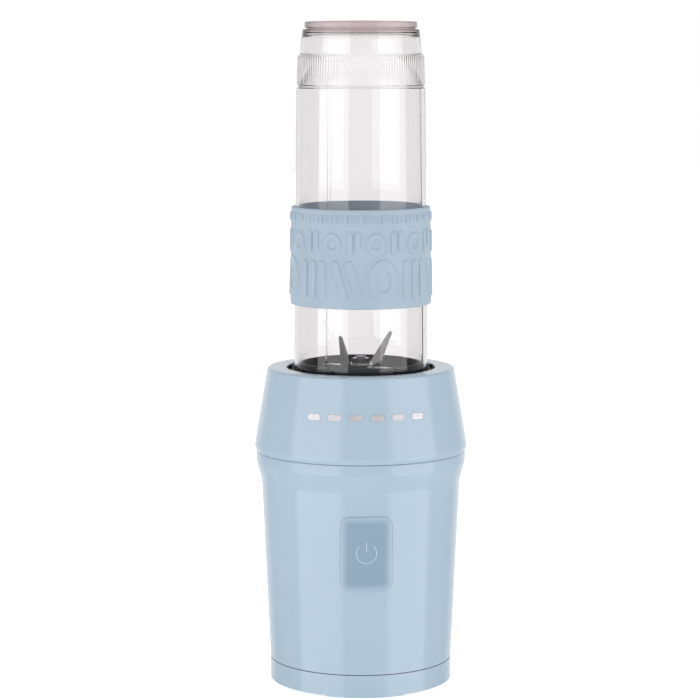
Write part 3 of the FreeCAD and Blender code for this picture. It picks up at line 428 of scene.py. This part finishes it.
class Recipe(NodeBench):
    # a Geometry Nodes tree with named inputs
    kinds = {int: "NodeSocketInt", float: "NodeSocketFloat"}

    def __init__(self, name, values):
        super().__init__(bpy.data.node_groups.new(name, "GeometryNodeTree"))
        face = self.tree.interface
        face.new_socket("Geometry", in_out="OUTPUT", socket_type="NodeSocketGeometry")
        self.values = {}
        for label, value in values.items():
            kind = self.kinds.get(type(value), "NodeSocketMaterial")
            socket = face.new_socket(label, in_out="INPUT", socket_type=kind)
            self.values[socket.identifier] = value
        self.source = self.tree.nodes.new("NodeGroupInput")

    def given(self, label):
        return Flow(self.tree, self.source.outputs[label])

    def finish(self, geometry):
        whole = self.add("GeometryNodeRealizeInstances", sockets={"Geometry": geometry})
        named = self.add("GeometryNodeSetMaterial", sockets={
            "Geometry": whole, "Material": self.given("finish")})
        result = self.tree.nodes.new("NodeGroupOutput")
        self.tree.links.new(named.socket, result.inputs[0])

    def bake(self, name, slot, body, sharpAngle=40):
        # runs the tree and keeps its result as a plain mesh
        piece = addObject(name, bpy.data.meshes.new(name))
        modifier = piece.modifiers.new("recipe", "NODES")
        modifier.node_group = self.tree
        for identifier, value in self.values.items():
            modifier[identifier] = value
        graph = bpy.context.evaluated_depsgraph_get()
        mesh = bpy.data.meshes.new_from_object(piece.evaluated_get(graph))
        piece.modifiers.clear()
        piece.data = mesh
        mesh.name = name
        mesh.shade_smooth()
        mesh.set_sharp_from_angle(angle=math.radians(sharpAngle))
        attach(piece, body)
        return piece


def cutAway(piece, cutter):
    # takes the cutter's shape out of the piece, then throws the cutter away
    modifier = piece.modifiers.new("opening", "BOOLEAN")
    modifier.operation, modifier.solver, modifier.object = "DIFFERENCE", "EXACT", cutter
    graph = bpy.context.evaluated_depsgraph_get()
    cutMesh = bpy.data.meshes.new_from_object(piece.evaluated_get(graph))
    piece.modifiers.clear()
    cutMesh.materials.clear()
    cutMesh.materials.append(piece.data.materials[0])
    piece.data = cutMesh
    bpy.data.objects.remove(cutter)
    cutMesh.shade_smooth()
    cutMesh.set_sharp_from_angle(angle=math.radians(40))


def pillOutline(width, height, rounding, steps=10, between=0):
    # a rounded rectangle about the middle, anticlockwise, with points along its top and bottom runs
    points = []
    for cornerX, cornerZ, start in ((1, 1, 0), (-1, 1, 90), (-1, -1, 180), (1, -1, 270)):
        for step in range(steps + 1):
            angle = math.radians(start + 90 * step / steps)
            points.append((cornerX * (width / 2 - rounding) + rounding * math.cos(angle),
                           cornerZ * (height / 2 - rounding) + rounding * math.sin(angle)))
        if cornerX == cornerZ:
            run = (width - 2 * rounding) * cornerX
            shares = [0.5 - step / (between + 1) for step in range(1, between + 1)]
            points += [(run * share, cornerZ * height / 2) for share in shares]
    return points


def prismAlongY(name, outline, middleZ, front, back):
    verts = [(x, y, middleZ + z) for y in (front, back) for x, z in outline]
    count = len(outline)
    faces = [tuple(range(count)), tuple(reversed(range(count, 2 * count)))]
    faces += [(i, i + count, (i + 1) % count + count, (i + 1) % count) for i in range(count)]
    mesh = bpy.data.meshes.new(name)
    mesh.from_pydata(verts, [], faces)
    work = bmesh.new()
    work.from_mesh(mesh)
    bmesh.ops.recalc_face_normals(work, faces=work.faces)
    work.to_mesh(mesh)
    work.free()
    piece = addObject(name, mesh)
    return piece


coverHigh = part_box("bottom_cover")[1]
housingLow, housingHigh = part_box("lower_housing")
collarLow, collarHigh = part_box("collar")
guideLow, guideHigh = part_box("button_guide")
inletLow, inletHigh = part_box("cord_inlet")

casing = {
    "turns": 288,
    "wall": 2.6 * mm,
    "seamGap": 0.35 * mm, "collarGap": 0.05 * mm,
    "spigotGap": 0.3 * mm, "spigotWall": 2.2 * mm, "spigotTop": 3 * mm, "spigotSlope": 2 * mm,
    "waistRadius": 57 * mm, "waistLevel": 114.5 * mm,
    "waistSwell": 0.4 * mm, "waistRise": 3.5 * mm, "waistRounding": 7 * mm,
    "shoulderLevel": 128.5 * mm, "flareRounding": 4 * mm, "shoulderLip": 5.5 * mm,
    "edgeRounding": 0.35 * mm, "shoulderRounding": 1.0 * mm,
    "collarShoulder": 61.2 * mm, "collarFoot": 3 * mm, "collarRounding": 5.5 * mm, "collarSeat": 0.3 * mm,
    "rimOuter": 53.6 * mm, "rimRounding": 1.7 * mm,
    "wellRadius": 42.5 * mm, "wellWall": 2.5 * mm, "lipDepth": 6 * mm, "lipRounding": 0.8 * mm,
    "buttonRounding": 6.9 * mm, "inletRadius": 5.6 * mm,
    "cutterNear": 30 * mm, "cutterFar": 80 * mm,
}


capLow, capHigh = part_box("button_cap")
button = {
    "widening": 0.3 * mm, "gap": 0.03 * mm, "rounding": 5.6 * mm,
    "proud": 0.5 * mm, "skin": 2.4 * mm, "edge": 0.4 * mm,
    "stem": 4.6 * mm, "stemGap": 0.05 * mm, "travel": 1.6 * mm,
    "markLevel": 83.9 * mm, "markRadius": 5.7 * mm, "markOpening": 42.0,
    "markLine": 0.22 * mm, "markRise": 0.05 * mm,
    "guideWall": 1.1 * mm, "guideBehind": 2.9 * mm,
}
buttonMiddle = (guideLow.z + guideHigh.z) / 2
faceWidth = capHigh.x - capLow.x + button["widening"]
faceHeight = capHigh.z - capLow.z + button["widening"]


def makeHousing():
    c = casing
    seat = coverHigh.z + c["seamGap"]
    bottomRadius, shoulderRadius = coverHigh.x, housingHigh.x
    top = collarLow.z - c["collarGap"]
    inner = bottomRadius - c["wall"]
    spigotOuter, spigotInner = inner - c["spigotGap"], inner - c["spigotWall"]
    spigotTop = seat + c["spigotTop"]
    corners = [
        (spigotOuter, housingLow.z, 0), (spigotOuter, seat, 0),
        (bottomRadius, seat, c["edgeRounding"]),
        (c["waistRadius"], c["waistLevel"], 0),
        (c["waistRadius"] + c["waistSwell"], c["waistLevel"] + c["waistRise"], c["waistRounding"]),
        (shoulderRadius, c["shoulderLevel"], c["flareRounding"]),
        (shoulderRadius, top, c["shoulderRounding"]),
        (shoulderRadius - c["wall"], top, 0), (shoulderRadius - c["wall"], housingHigh.z, 0),
        (shoulderRadius - c["shoulderLip"], housingHigh.z, 0),
        (c["waistRadius"] - c["wall"], c["waistLevel"], 0),
        (inner, spigotTop + c["spigotSlope"], 0), (spigotInner, spigotTop, 0),
        (spigotInner, housingLow.z, 0)]
    outline = []
    points = roundedOutline(corners, 8)
    for index, point in enumerate(points):
        outline.append(point)
        following = points[(index + 1) % len(points)]
        pieces = int((following - point).length / (3 * mm))
        outline += [point.lerp(following, step / (pieces + 1)) for step in range(1, pieces + 1)]
    piece = newPiece("housing", *lathe(outline, evenAngles(c["turns"])), "base_plastic", "base")
    gap, near, far = button["gap"], c["cutterNear"], c["cutterFar"]
    opening = pillOutline(faceWidth + 2 * gap, faceHeight + 2 * gap, button["rounding"] + gap)
    cutAway(piece, prismAlongY("opening", opening, buttonMiddle, -far, -near))
    ring = [(c["inletRadius"] * math.cos(a), c["inletRadius"] * math.sin(a)) for a in evenAngles(48)]
    cutAway(piece, prismAlongY("inlet", ring, (inletLow.z + inletHigh.z) / 2, near, far))
    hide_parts("lower_housing")


def makeCollar():
    c = casing
    wellOuter = c["wellRadius"] + c["wellWall"]
    seatRadius = housingHigh.x - c["wall"] + c["collarSeat"]
    lipBottom = collarHigh.z - c["lipDepth"]
    ceiling = collarHigh.z - c["wall"]
    corners = [
        (housingHigh.x, collarLow.z, c["edgeRounding"]),
        (c["collarShoulder"], collarLow.z + c["collarFoot"], c["collarRounding"]),
        (c["rimOuter"], collarHigh.z, c["rimRounding"]),
        (c["wellRadius"], collarHigh.z, c["lipRounding"]), (c["wellRadius"], lipBottom, 0),
        (wellOuter, lipBottom, 0), (wellOuter, ceiling, 0),
        (c["rimOuter"] - c["wall"], ceiling, 0),
        (c["collarShoulder"] - c["wall"], collarLow.z + 7 * mm, 0),
        (seatRadius, collarLow.z + 5 * mm, 0), (seatRadius, collarLow.z, 0)]
    piece = newPiece("collarShell", *lathe(roundedOutline(corners, 8), evenAngles(c["turns"])),
                     "base_plastic", "base")
    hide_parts("collar")


makeHousing()
makeCollar()
for name in ("bottom_cover", "foot_back_left", "foot_back_right", "foot_front_left", "foot_front_right",
             "cord_inlet", "bottle_well", "well_seal"):
    smoothCopy(name, "base")
print("motor base cased")


def skinRadius(z):
    # the housing's straight taper
    share = (z - coverHigh.z) / (casing["waistLevel"] - coverHigh.z)
    return coverHigh.x + (casing["waistRadius"] - coverHigh.x) * share


def onSkin(x, z, proud):
    return (x, -math.sqrt((skinRadius(z) + proud) ** 2 - x * x), z)


def makeButton():
    p = button
    # each step is how far inside the outline and how far out of the skin, from back to front
    steps = [(0, -p["skin"]), (0, p["proud"] - p["edge"])]
    steps += [(p["edge"] * (1 - math.cos(a)), p["proud"] - p["edge"] * (1 - math.sin(a)))
              for a in np.linspace(0.25, math.pi / 2, 6)]
    inward = [p["edge"] + (faceWidth / 2 - p["edge"]) * share
              for share in (0.06, 0.15, 0.3, 0.45, 0.6, 0.75, 0.88, 1)]
    steps = [(inset, -p["skin"]) for inset in reversed(inward)] + steps
    steps += [(inset, p["proud"]) for inset in inward]
    verts, faces = [], []
    for inset, proud in steps:
        rounding = max(p["rounding"] - inset, 0)
        ring = pillOutline(faceWidth - 2 * inset, faceHeight - 2 * inset, rounding, 12, 16)
        verts += [onSkin(x, buttonMiddle + z, proud) for x, z in ring]
    count = len(verts) // len(steps)
    for row in range(len(steps) - 1):
        low, high = row * count, (row + 1) * count
        faces += [(low + i, low + (i + 1) % count, high + (i + 1) % count, high + i)
                  for i in range(count)]
    half = p["stem"] / 2
    start, front = len(verts), skinRadius(buttonMiddle) - p["skin"] + 0.2 * mm
    stemCorners = [(-1, -1), (1, -1), (1, 1), (-1, 1)]
    back = capHigh.y - p["stemGap"]
    verts += [(x * half, y, buttonMiddle + z * half) for y in (-front, back) for x, z in stemCorners]
    faces += [(start + i, start + (i + 1) % 4, start + 4 + (i + 1) % 4, start + 4 + i) for i in range(4)]
    faces += [tuple(start + i for i in (3, 2, 1, 0)), tuple(start + i for i in (4, 5, 6, 7))]
    piece = newPiece("buttonFace", verts, faces, "button_plastic", "button", 50)
    closeUp(piece)
    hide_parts("button_cap")
    smoothCopy("switch_plunger", "button")
    makeSpring()
    makeMark()
    makeGuide()


def makeSpring():
    # the coil rests on the board
    spring = smoothCopy("button_spring", "base")
    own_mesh(spring)


def closeUp(piece):
    # merges coincident points and turns every face outwards
    work = bmesh.new()
    work.from_mesh(piece.data)
    bmesh.ops.remove_doubles(work, verts=work.verts, dist=0.004 * mm)
    bmesh.ops.dissolve_degenerate(work, edges=work.edges, dist=0.002 * mm)
    bmesh.ops.recalc_face_normals(work, faces=work.faces)
    work.to_mesh(piece.data)
    work.free()


def makeMark():
    # the plain standby sign, a thin raised line
    p = button
    opening = math.radians(p["markOpening"])
    radius = p["markRadius"]
    arc = [(radius * math.sin(a), radius * math.cos(a))
           for a in np.linspace(opening, 2 * math.pi - opening, 60)]
    bar = [(0, radius * share) for share in np.linspace(1.12, 0.15, 12)]
    curve = bpy.data.curves.new("standbyMark", "CURVE")
    curve.dimensions = "3D"
    curve.bevel_depth, curve.bevel_resolution, curve.use_fill_caps = p["markLine"], 3, True
    for line in (arc, bar):
        spline = curve.splines.new("POLY")
        spline.points.add(len(line) - 1)
        for point, (x, z) in zip(spline.points, line):
            level = p["markLevel"] + z
            point.co = (*onSkin(x, level, p["proud"] + p["markRise"] - p["markLine"] * 0.6), 1)
    drawn = addObject("drawnMark", curve)
    graph = bpy.context.evaluated_depsgraph_get()
    mesh = bpy.data.meshes.new_from_object(drawn.evaluated_get(graph))
    bpy.data.objects.remove(drawn)
    mesh.materials.clear()
    mesh.materials.append(markPaint)
    mark = addObject("standbyMark", mesh)
    closeUp(mark)
    mesh.shade_smooth()
    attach(mark, "button")


def makeGuide():
    # the box behind the shell that guides the button and holds the board
    p = button
    width, height = guideHigh.x - guideLow.x, guideHigh.z - guideLow.z
    wall, rounding = p["guideWall"], casing["buttonRounding"]
    outer = pillOutline(width, height, rounding - 0.1 * mm, 8, 16)
    inner = pillOutline(width - 2 * wall, height - 2 * wall, rounding - wall, 8, 16)
    verts = []
    for outline, front in ((outer, True), (outer, False), (inner, False), (inner, True)):
        verts += [onSkin(x, buttonMiddle + z, -p["guideBehind"]) if front
                  else (x, guideHigh.y, buttonMiddle + z) for x, z in outline]
    count = len(outer)
    faces = [(row * count + i, row * count + (i + 1) % count, (row + 1) % 4 * count + (i + 1) % count,
              (row + 1) % 4 * count + i) for row in range(4) for i in range(count)]
    piece = newPiece("guideBox", verts, faces, "base_plastic", "base", 40)
    closeUp(piece)
    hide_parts("button_guide")


makeButton()
print("button fitted")


trim = {
    "dashes": 6, "spacing": 12.0 * mm, "dashLength": 7.6 * mm, "dashHeight": 3.4 * mm,
    "level": 160.4 * mm, "proud": 0.35 * mm, "sunk": 0.5 * mm,
}


def makeTrimDashes():
    # a row of slim bright dashes, bent round the collar's slope
    t, c = trim, casing
    recipe = Recipe("trimDashes", {
        "dashes": t["dashes"], "spacing": t["spacing"], "length": t["dashLength"],
        "height": t["dashHeight"], "thickness": t["proud"] + t["sunk"], "finish": brightTrim})
    corner = recipe.add("GeometryNodeCurvePrimitiveQuadrilateral", sockets={
        "Width": recipe.given("length"), "Height": recipe.given("height")})
    pill = recipe.add("GeometryNodeFilletCurve", {"mode": "POLY"}, {
        "Curve": corner, "Radius": recipe.given("height") * 0.49, "Count": 8})
    dense = recipe.add("GeometryNodeResampleCurve", {"mode": "LENGTH"}, {
        "Curve": pill, "Length": 0.25 * mm})
    plate = recipe.add("GeometryNodeFillCurve", {"mode": "NGONS"}, {"Curve": dense})
    solid = recipe.add("GeometryNodeExtrudeMesh", {"mode": "FACES"}, {
        "Mesh": plate, "Offset Scale": recipe.given("thickness"), "Individual": False})
    closed = recipe.add("GeometryNodeJoinGeometry", sockets={"Geometry": solid})
    bottomFace = recipe.add("GeometryNodeFlipFaces", sockets={"Mesh": plate})
    recipe.tree.links.new(bottomFace.socket, closed.socket.node.inputs[0])
    whole = recipe.add("GeometryNodeMergeByDistance", sockets={"Geometry": closed, "Distance": 0.01 * mm})
    step = recipe.add("ShaderNodeCombineXYZ", sockets={"X": recipe.given("spacing")})
    first = recipe.add("ShaderNodeCombineXYZ", sockets={
        "X": (1 - recipe.given("dashes")) * recipe.given("spacing") * 0.5})
    line = recipe.add("GeometryNodeMeshLine", {"mode": "OFFSET"}, {
        "Count": recipe.given("dashes"), "Start Location": first, "Offset": step})
    row = recipe.add("GeometryNodeInstanceOnPoints", sockets={"Points": line, "Instance": whole})
    laid = recipe.add("GeometryNodeRealizeInstances", sockets={"Geometry": row})
    x, y, z = recipe.parts(recipe.add("GeometryNodeInputPosition"))
    slopeFoot = collarLow.z + c["collarFoot"]
    slope = (c["collarShoulder"] - c["rimOuter"]) / (collarHigh.z - slopeFoot)
    middle = c["collarShoulder"] - slope * (t["level"] - slopeFoot)
    radius = z - y * slope + (middle - t["sunk"])
    angle = x / middle
    bent = recipe.add("ShaderNodeCombineXYZ", sockets={
        "X": radius * recipe.add("ShaderNodeMath", {"operation": "SINE"}, {0: angle}),
        "Y": radius * recipe.add("ShaderNodeMath", {"operation": "COSINE"}, {0: angle}) * -1,
        "Z": y + t["level"]})
    recipe.finish(recipe.add("GeometryNodeSetPosition", sockets={"Geometry": laid, "Position": bent}))
    piece = recipe.bake("trimDashes", "zinc", "base", 30)
    closeUp(piece)


makeTrimDashes()
print("trim laid")


for name in ("blade_holder", "bottle_gasket", "blade_seal", "blade_bushing"):
    smoothCopy(name, "blade_unit")
for name in ("blade_shaft", "driven_coupling", "lower_blades", "upper_blades", "blade_nut"):
    smoothCopy(name, "blades")
smoothCopy("lock_ring", "locking_ring")
smoothCopy("drive_coupling", "rotor")
print("blade unit finished")


bottleLow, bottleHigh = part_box("bottle")
bottleShape = {
    "wall": 1.7 * mm, "smallRounding": 0.3 * mm, "grooveRounding": 0.15 * mm,
    "mouthRadius": 38.2 * mm, "beadRadius": 38.8 * mm, "beadLevel": 3 * mm, "beadHeight": 2 * mm,
    "bellyRadius": 38.35 * mm, "bellyLevel": 192 * mm,
    "neckRadius": 36.6 * mm, "neckLevel": 341.4 * mm,
    "ribLowRadius": 36.45 * mm, "ribTopRadius": 35.95 * mm, "ribBottom": 343.6 * mm, "ribTop": 359.4 * mm,
    "ribs": 130, "ribDepth": 0.42 * mm, "grooveShare": 0.36, "grooveDepth": 0.85 * mm,
    "mouldLines": (-124.0, -26.7, 115.7), "lineHeight": 0.3 * mm, "lineWidth": 0.8,
    "stepRadius": 34.6 * mm, "stepLevel": 361 * mm,
    "heelRadius": 33.2 * mm, "heelLevel": 374.6 * mm,
    "discNeck": 31 * mm, "discRadius": 32.1 * mm, "discLevel": 375.4 * mm, "discTop": 378.8 * mm,
    "floorLevel": 372.4 * mm,
}


def makeBottle():
    b = bottleShape
    wall, low = b["wall"], bottleLow.z
    small, groove = b["smallRounding"], b["grooveRounding"]
    bead, beadTop = low + b["beadLevel"], low + b["beadLevel"] + b["beadHeight"]
    chamfer = 0.5 * mm
    grooveRadius = b["neckRadius"] - b["grooveDepth"]
    corners = [
        (b["mouthRadius"] - wall, low, 0.4 * mm), (b["mouthRadius"], low, 0.4 * mm),
        (b["mouthRadius"], bead - chamfer, small), (b["beadRadius"], bead, small),
        (b["beadRadius"], beadTop, small), (b["mouthRadius"], beadTop + chamfer, small),
        (b["bellyRadius"], b["bellyLevel"], 60 * mm), (b["neckRadius"], b["neckLevel"], 0.25 * mm),
        (grooveRadius, b["neckLevel"] + chamfer, groove),
        (grooveRadius, b["ribBottom"] - 0.7 * mm, groove),
        (b["ribLowRadius"], b["ribBottom"] - 0.2 * mm, groove),
        (b["ribTopRadius"], b["ribTop"], 0.35 * mm), (b["stepRadius"], b["stepLevel"], 0.5 * mm),
        (b["heelRadius"], b["heelLevel"], 0.7 * mm), (b["discNeck"], b["heelLevel"], 0.3 * mm),
        (b["discNeck"], b["discLevel"], 0.3 * mm), (b["discRadius"], b["discLevel"], 0.6 * mm),
        (b["discRadius"] - 0.1 * mm, b["discTop"], 0.7 * mm), (0, bottleHigh.z, 0),
        (0, b["floorLevel"], 0),
        (b["heelRadius"] - wall - 0.3 * mm, b["floorLevel"], 3.2 * mm),
        (b["stepRadius"] - wall, b["stepLevel"], 2 * mm),
        (b["ribTopRadius"] - 0.4 * mm - wall, b["ribTop"] - 1.6 * mm, 2 * mm),
        (b["neckRadius"] - wall, b["neckLevel"], 4 * mm),
        (b["bellyRadius"] - wall, b["bellyLevel"], 60 * mm)]
    outline = roundedOutline(corners, 6)
    ribbed = {row for row, point in enumerate(outline)
              if b["ribBottom"] - 0.1 * mm <= point.y <= b["ribTop"] + 0.1 * mm
              and point.x > b["ribTopRadius"] - 0.2 * mm}
    lines = [math.radians(angle) % (2 * math.pi) for angle in b["mouldLines"]]
    lineWidth = math.radians(b["lineWidth"])
    outside = {row for row, point in enumerate(outline)
               if low + 6 * mm < point.y < b["neckLevel"] - 1 * mm
               and point.x > b["neckRadius"] - 0.2 * mm}

    def radiusAt(row, point, angle):
        if row in outside:
            nearest = min(abs((angle - line + math.pi) % (2 * math.pi) - math.pi) for line in lines)
            return point.x + b["lineHeight"] * max(0, 1 - nearest / lineWidth * 2) ** 0.7
        if row not in ribbed:
            return point.x
        fromGroove = abs(angle * b["ribs"] / (2 * math.pi) % 1 - 0.5)
        return point.x - b["ribDepth"] * max(0, 1 - 2 * fromGroove / b["grooveShare"])

    extra = [line + lineWidth / 2 * share for line in lines for share in (-1, -0.7, -0.35, 0.35, 0.7, 1)]
    half = b["grooveShare"] / 2
    shares = (0, 0.5 - half, 0.5 - half / 2, 0.5, 0.5 + half / 2, 0.5 + half)
    steps = [2 * math.pi * (rib + share) / b["ribs"] for rib in range(b["ribs"]) for share in shares]
    angles = sorted(set(steps) | {angle % (2 * math.pi) for angle in extra + lines})
    piece = newPiece("clearBottle", *lathe(outline, angles, radiusAt), "clear", "bottle", 60)
    piece.visible_shadow = False  # light reaches what the clear wall holds
    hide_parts("bottle")
    print("bottle faces:", len(piece.data.polygons))


makeBottle()


sleeveLow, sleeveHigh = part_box("bottle_sleeve")
sleeveShape = {
    "columns": 620, "rows": 118,
    "thickness": 2.4 * mm, "relief": 0.7 * mm, "edge": 0.8 * mm, "edgeDepth": 0.6, "soft": 0.42 * mm,
    "largeRow": (4.6 * mm, 27.0 * mm), "middleRow": (30.2 * mm, 43.4 * mm),
    "smallRow": (47.6 * mm, 52.4 * mm),
    "largeCount": 12, "middleCount": 20, "smallCount": 84,
    "largeStroke": 4.2 * mm, "middleStroke": 2.8 * mm, "smallStroke": 1.05 * mm,
}


def makeSleeve():
    s = sleeveShape
    height = sleeveHigh.z - sleeveLow.z
    radius = sleeveHigh.x - 0.35 * mm
    around = np.linspace(0, 2 * math.pi, s["columns"], endpoint=False)
    up = np.linspace(0, height, s["rows"])
    angle, level = np.meshgrid(around, up)
    relief = np.zeros_like(angle)

    def stroke(middle, fromX, fromZ, toX, toZ, width):
        # a raised bar with round ends, between two points about a mark's middle
        along = ((angle - middle + math.pi) % (2 * math.pi) - math.pi) * radius
        runX, runZ = toX - fromX, toZ - fromZ
        share = np.clip(((along - fromX) * runX + (level - fromZ) * runZ) / (runX ** 2 + runZ ** 2), 0, 1)
        gap = np.hypot(along - fromX - share * runX, level - fromZ - share * runZ)
        return width / 2 - gap

    def loop(middle, atZ, halfWidth, halfHeight, width):
        # a raised oval ring
        along = ((angle - middle + math.pi) % (2 * math.pi) - math.pi) * radius
        reach = np.hypot(along / halfWidth, (level - atZ) / halfHeight)
        return width / 2 - np.abs(reach - 1) * min(halfWidth, halfHeight)

    def emboss(inside):
        np.maximum(relief, np.clip(inside / s["soft"] + 0.5, 0, 1), out=relief)

    low, high = s["largeRow"]
    wide = s["largeStroke"]
    for index in range(s["largeCount"]):
        middle = 2 * math.pi * (index + 0.5) / s["largeCount"]
        kind = index % 3
        bottom, top = low + wide / 2, high - wide / 2
        if kind == 0:
            emboss(loop(middle, (low + high) / 2, 6.4 * mm, (high - low) / 2 - wide / 2, wide))
        elif kind == 1:
            for offset in (-6.6 * mm, 0, 6.6 * mm):
                emboss(stroke(middle, offset, bottom, offset, top, wide))
        else:
            for offset in (-5.5 * mm, 2.5 * mm):
                emboss(stroke(middle, offset + 4 * mm, bottom, offset - 1 * mm, top, wide))
    low, high = s["middleRow"]
    wide = s["middleStroke"]
    for index in range(s["middleCount"]):
        middle = 2 * math.pi * (index + 0.5) / s["middleCount"]
        bottom, top = low + wide / 2, high - wide / 2
        if index % 2:
            emboss(loop(middle, (low + high) / 2 - 0.6 * mm, 4.0 * mm, 4.6 * mm, wide))
        else:
            emboss(stroke(middle, -2.2 * mm, bottom, -2.2 * mm, top, wide))
            emboss(stroke(middle, 2.2 * mm, bottom + 3 * mm, 2.2 * mm, top, wide))
    low, high = s["smallRow"]
    wide = s["smallStroke"]
    for index in range(s["smallCount"]):
        middle = 2 * math.pi * (index + 0.5) / s["smallCount"]
        bottom = low + wide / 2 + (1.2 * mm if index % 3 == 1 else 0)
        emboss(stroke(middle, 0, bottom, 0, high - wide / 2, wide))

    relief = relief * relief * (3 - 2 * relief)
    edge = np.clip(np.minimum(level, height - level) / s["edge"], 0, 1)
    edgeDrop = s["edge"] * s["edgeDepth"] * (1 - np.sqrt(1 - (1 - edge) ** 2))
    bottleWall = bottleRadiusAt(sleeveLow.z + level)
    outer = bottleWall + s["thickness"] - edgeDrop + relief * s["relief"]
    inner = bottleWall + 0.02 * mm
    verts, faces = [], []
    rings = [(outer[row], up[row]) for row in range(s["rows"])]
    rings += [(inner[row], up[row]) for row in (-1, 0)]
    for radii, z in rings:
        verts += [(r * math.cos(a), r * math.sin(a), sleeveLow.z + z) for r, a in zip(radii, around)]
    columns = s["columns"]
    for ring in range(len(rings)):
        following = (ring + 1) % len(rings)
        for step in range(columns):
            ahead = (step + 1) % columns
            faces.append((ring * columns + step, ring * columns + ahead,
                          following * columns + ahead, following * columns + step))
    piece = newPiece("gripSleeve", verts, faces, "silicone", "bottle", 50)
    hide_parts("bottle_sleeve")
    print("sleeve faces:", len(piece.data.polygons))


def bottleRadiusAt(z):
    b = bottleShape
    share = (z - b["bellyLevel"]) / (b["neckLevel"] - b["bellyLevel"])
    return b["bellyRadius"] + (b["neckRadius"] - b["bellyRadius"]) * share


makeSleeve()


studio = {
    "viewAzimuth": -3.1, "distance": 1.426, "height": 0.3642, "pitch": 6.9,
    "sideStep": -6.2 * mm, "lens": 128.5, "sensor": 36,
    "frontLight": 0.52, "backLight": 0.95, "topLight": 0.12, "sideGloss": 0.25, "backGloss": 0.95,
    "frontThroughGlass": 0.8, "sideThroughGlass": 0.3, "backThroughGlass": 0.93,
    "floorGlow": 0.58, "floorRadius": 6,
    "leftBox": {"from": -80.0, "to": -22.0, "power": 1.75},
    "rightBox": {"from": 33.0, "to": 87.0, "power": 1.75},
    "boxDistance": 2.2, "boxHeight": 3.2, "boxMiddle": 0.3,
}


viewTurn = math.radians(studio["viewAzimuth"])


def makeWorld():
    # a pale room that is told apart by the kind of ray: seen plainly, in a reflection or through the bottle
    world = bpy.data.worlds.new("paleStudio")
    world.use_nodes = True
    bpy.context.scene.world = world
    tree = world.node_tree
    background = tree.nodes["Background"]
    background.inputs["Color"].default_value = (1, 1, 1, 1)
    bench = NodeBench(tree)
    seen = bench.add("ShaderNodeLightPath", out="Is Camera Ray")
    through = bench.add("ShaderNodeLightPath", out="Is Transmission Ray")
    shiny = bench.add("ShaderNodeLightPath", out="Is Glossy Ray")
    x, y, z = bench.parts(bench.add("ShaderNodeTexCoord", out="Generated"))
    ahead = y * math.cos(viewTurn) - x * math.sin(viewTurn)  # 1 behind the object, -1 in front of it

    def share(value, start, end):
        return bench.add("ShaderNodeMapRange", {"interpolation_type": "SMOOTHSTEP"}, {
            "Value": value, "From Min": start, "From Max": end})

    behind = share(ahead, -0.5, 0.8)
    bare = (behind * (studio["backLight"] - studio["frontLight"])
            + share(z, 0.2, 1.0) * studio["topLight"] + studio["frontLight"])
    glass = (share(ahead, 0.35, 0.85) * (studio["backThroughGlass"] - studio["sideThroughGlass"])
             + share(ahead * -1, 0.2, 0.7) * (studio["frontThroughGlass"] - studio["sideThroughGlass"])
             + studio["sideThroughGlass"])
    gloss = share(ahead, 0.6, 0.95) * (studio["backGloss"] - studio["sideGloss"]) + studio["sideGloss"]
    outside = shiny * gloss + (1 - shiny) * bare
    strength = seen + (1 - seen) * (through * glass + (1 - through) * outside)
    tree.links.new(strength.socket, background.inputs["Strength"])


def makeFloor():
    floorMesh = bpy.data.meshes.new("floor")
    work = bmesh.new()
    bmesh.ops.create_circle(work, cap_ends=True, radius=studio["floorRadius"], segments=96)
    work.to_mesh(floorMesh)
    work.free()
    floor = addObject("floor", floorMesh)
    paper = Finish("whitePaper", Roughness=0.9)
    paper.set("Base Color", paper.blend(paper.noise(3, 2), (0.93, 0.93, 0.93), (0.96, 0.96, 0.96)))
    paper.set("Emission Color", (1, 1, 1))
    paper.set("Emission Strength", studio["floorGlow"])
    floorMesh.materials.append(paper.material)
    floor.visible_glossy = False
    floor.visible_transmission = False


def makeLights():
    for name in ("leftBox", "rightBox"):
        box = studio[name]
        middle = math.radians((box["from"] + box["to"]) / 2 + studio["viewAzimuth"])
        halfSpan = math.radians((box["to"] - box["from"]) / 2)
        light = bpy.data.lights.new(name, "AREA")
        light.shape = "RECTANGLE"
        light.size = 2 * studio["boxDistance"] * math.tan(halfSpan)
        light.size_y = studio["boxHeight"]
        light.energy = box["power"] * light.size * light.size_y * math.pi
        lamp = addObject(name, light)
        direction = Vector((math.sin(middle), -math.cos(middle), 0))
        lamp.location = direction * studio["boxDistance"] + Vector((0, 0, studio["boxMiddle"]))
        lamp.rotation_euler = direction.to_track_quat("Z", "Y").to_euler()


def makeCamera():
    camera = addObject("camera", bpy.data.cameras.new("camera"))
    camera.data.lens = studio["lens"]
    camera.data.sensor_width = studio["sensor"]
    side = Vector((math.cos(viewTurn), math.sin(viewTurn), 0))
    back = Vector((math.sin(viewTurn), -math.cos(viewTurn), 0))
    camera.location = (back * studio["distance"] + side * studio["sideStep"]
                       + Vector((0, 0, studio["height"])))
    camera.rotation_euler = (math.radians(90 - studio["pitch"]), 0, viewTurn)
    bpy.context.scene.camera = camera


bpy.context.scene.view_settings.view_transform = "Standard"
makeWorld()
makeFloor()
makeLights()
makeCamera()
print("studio set")
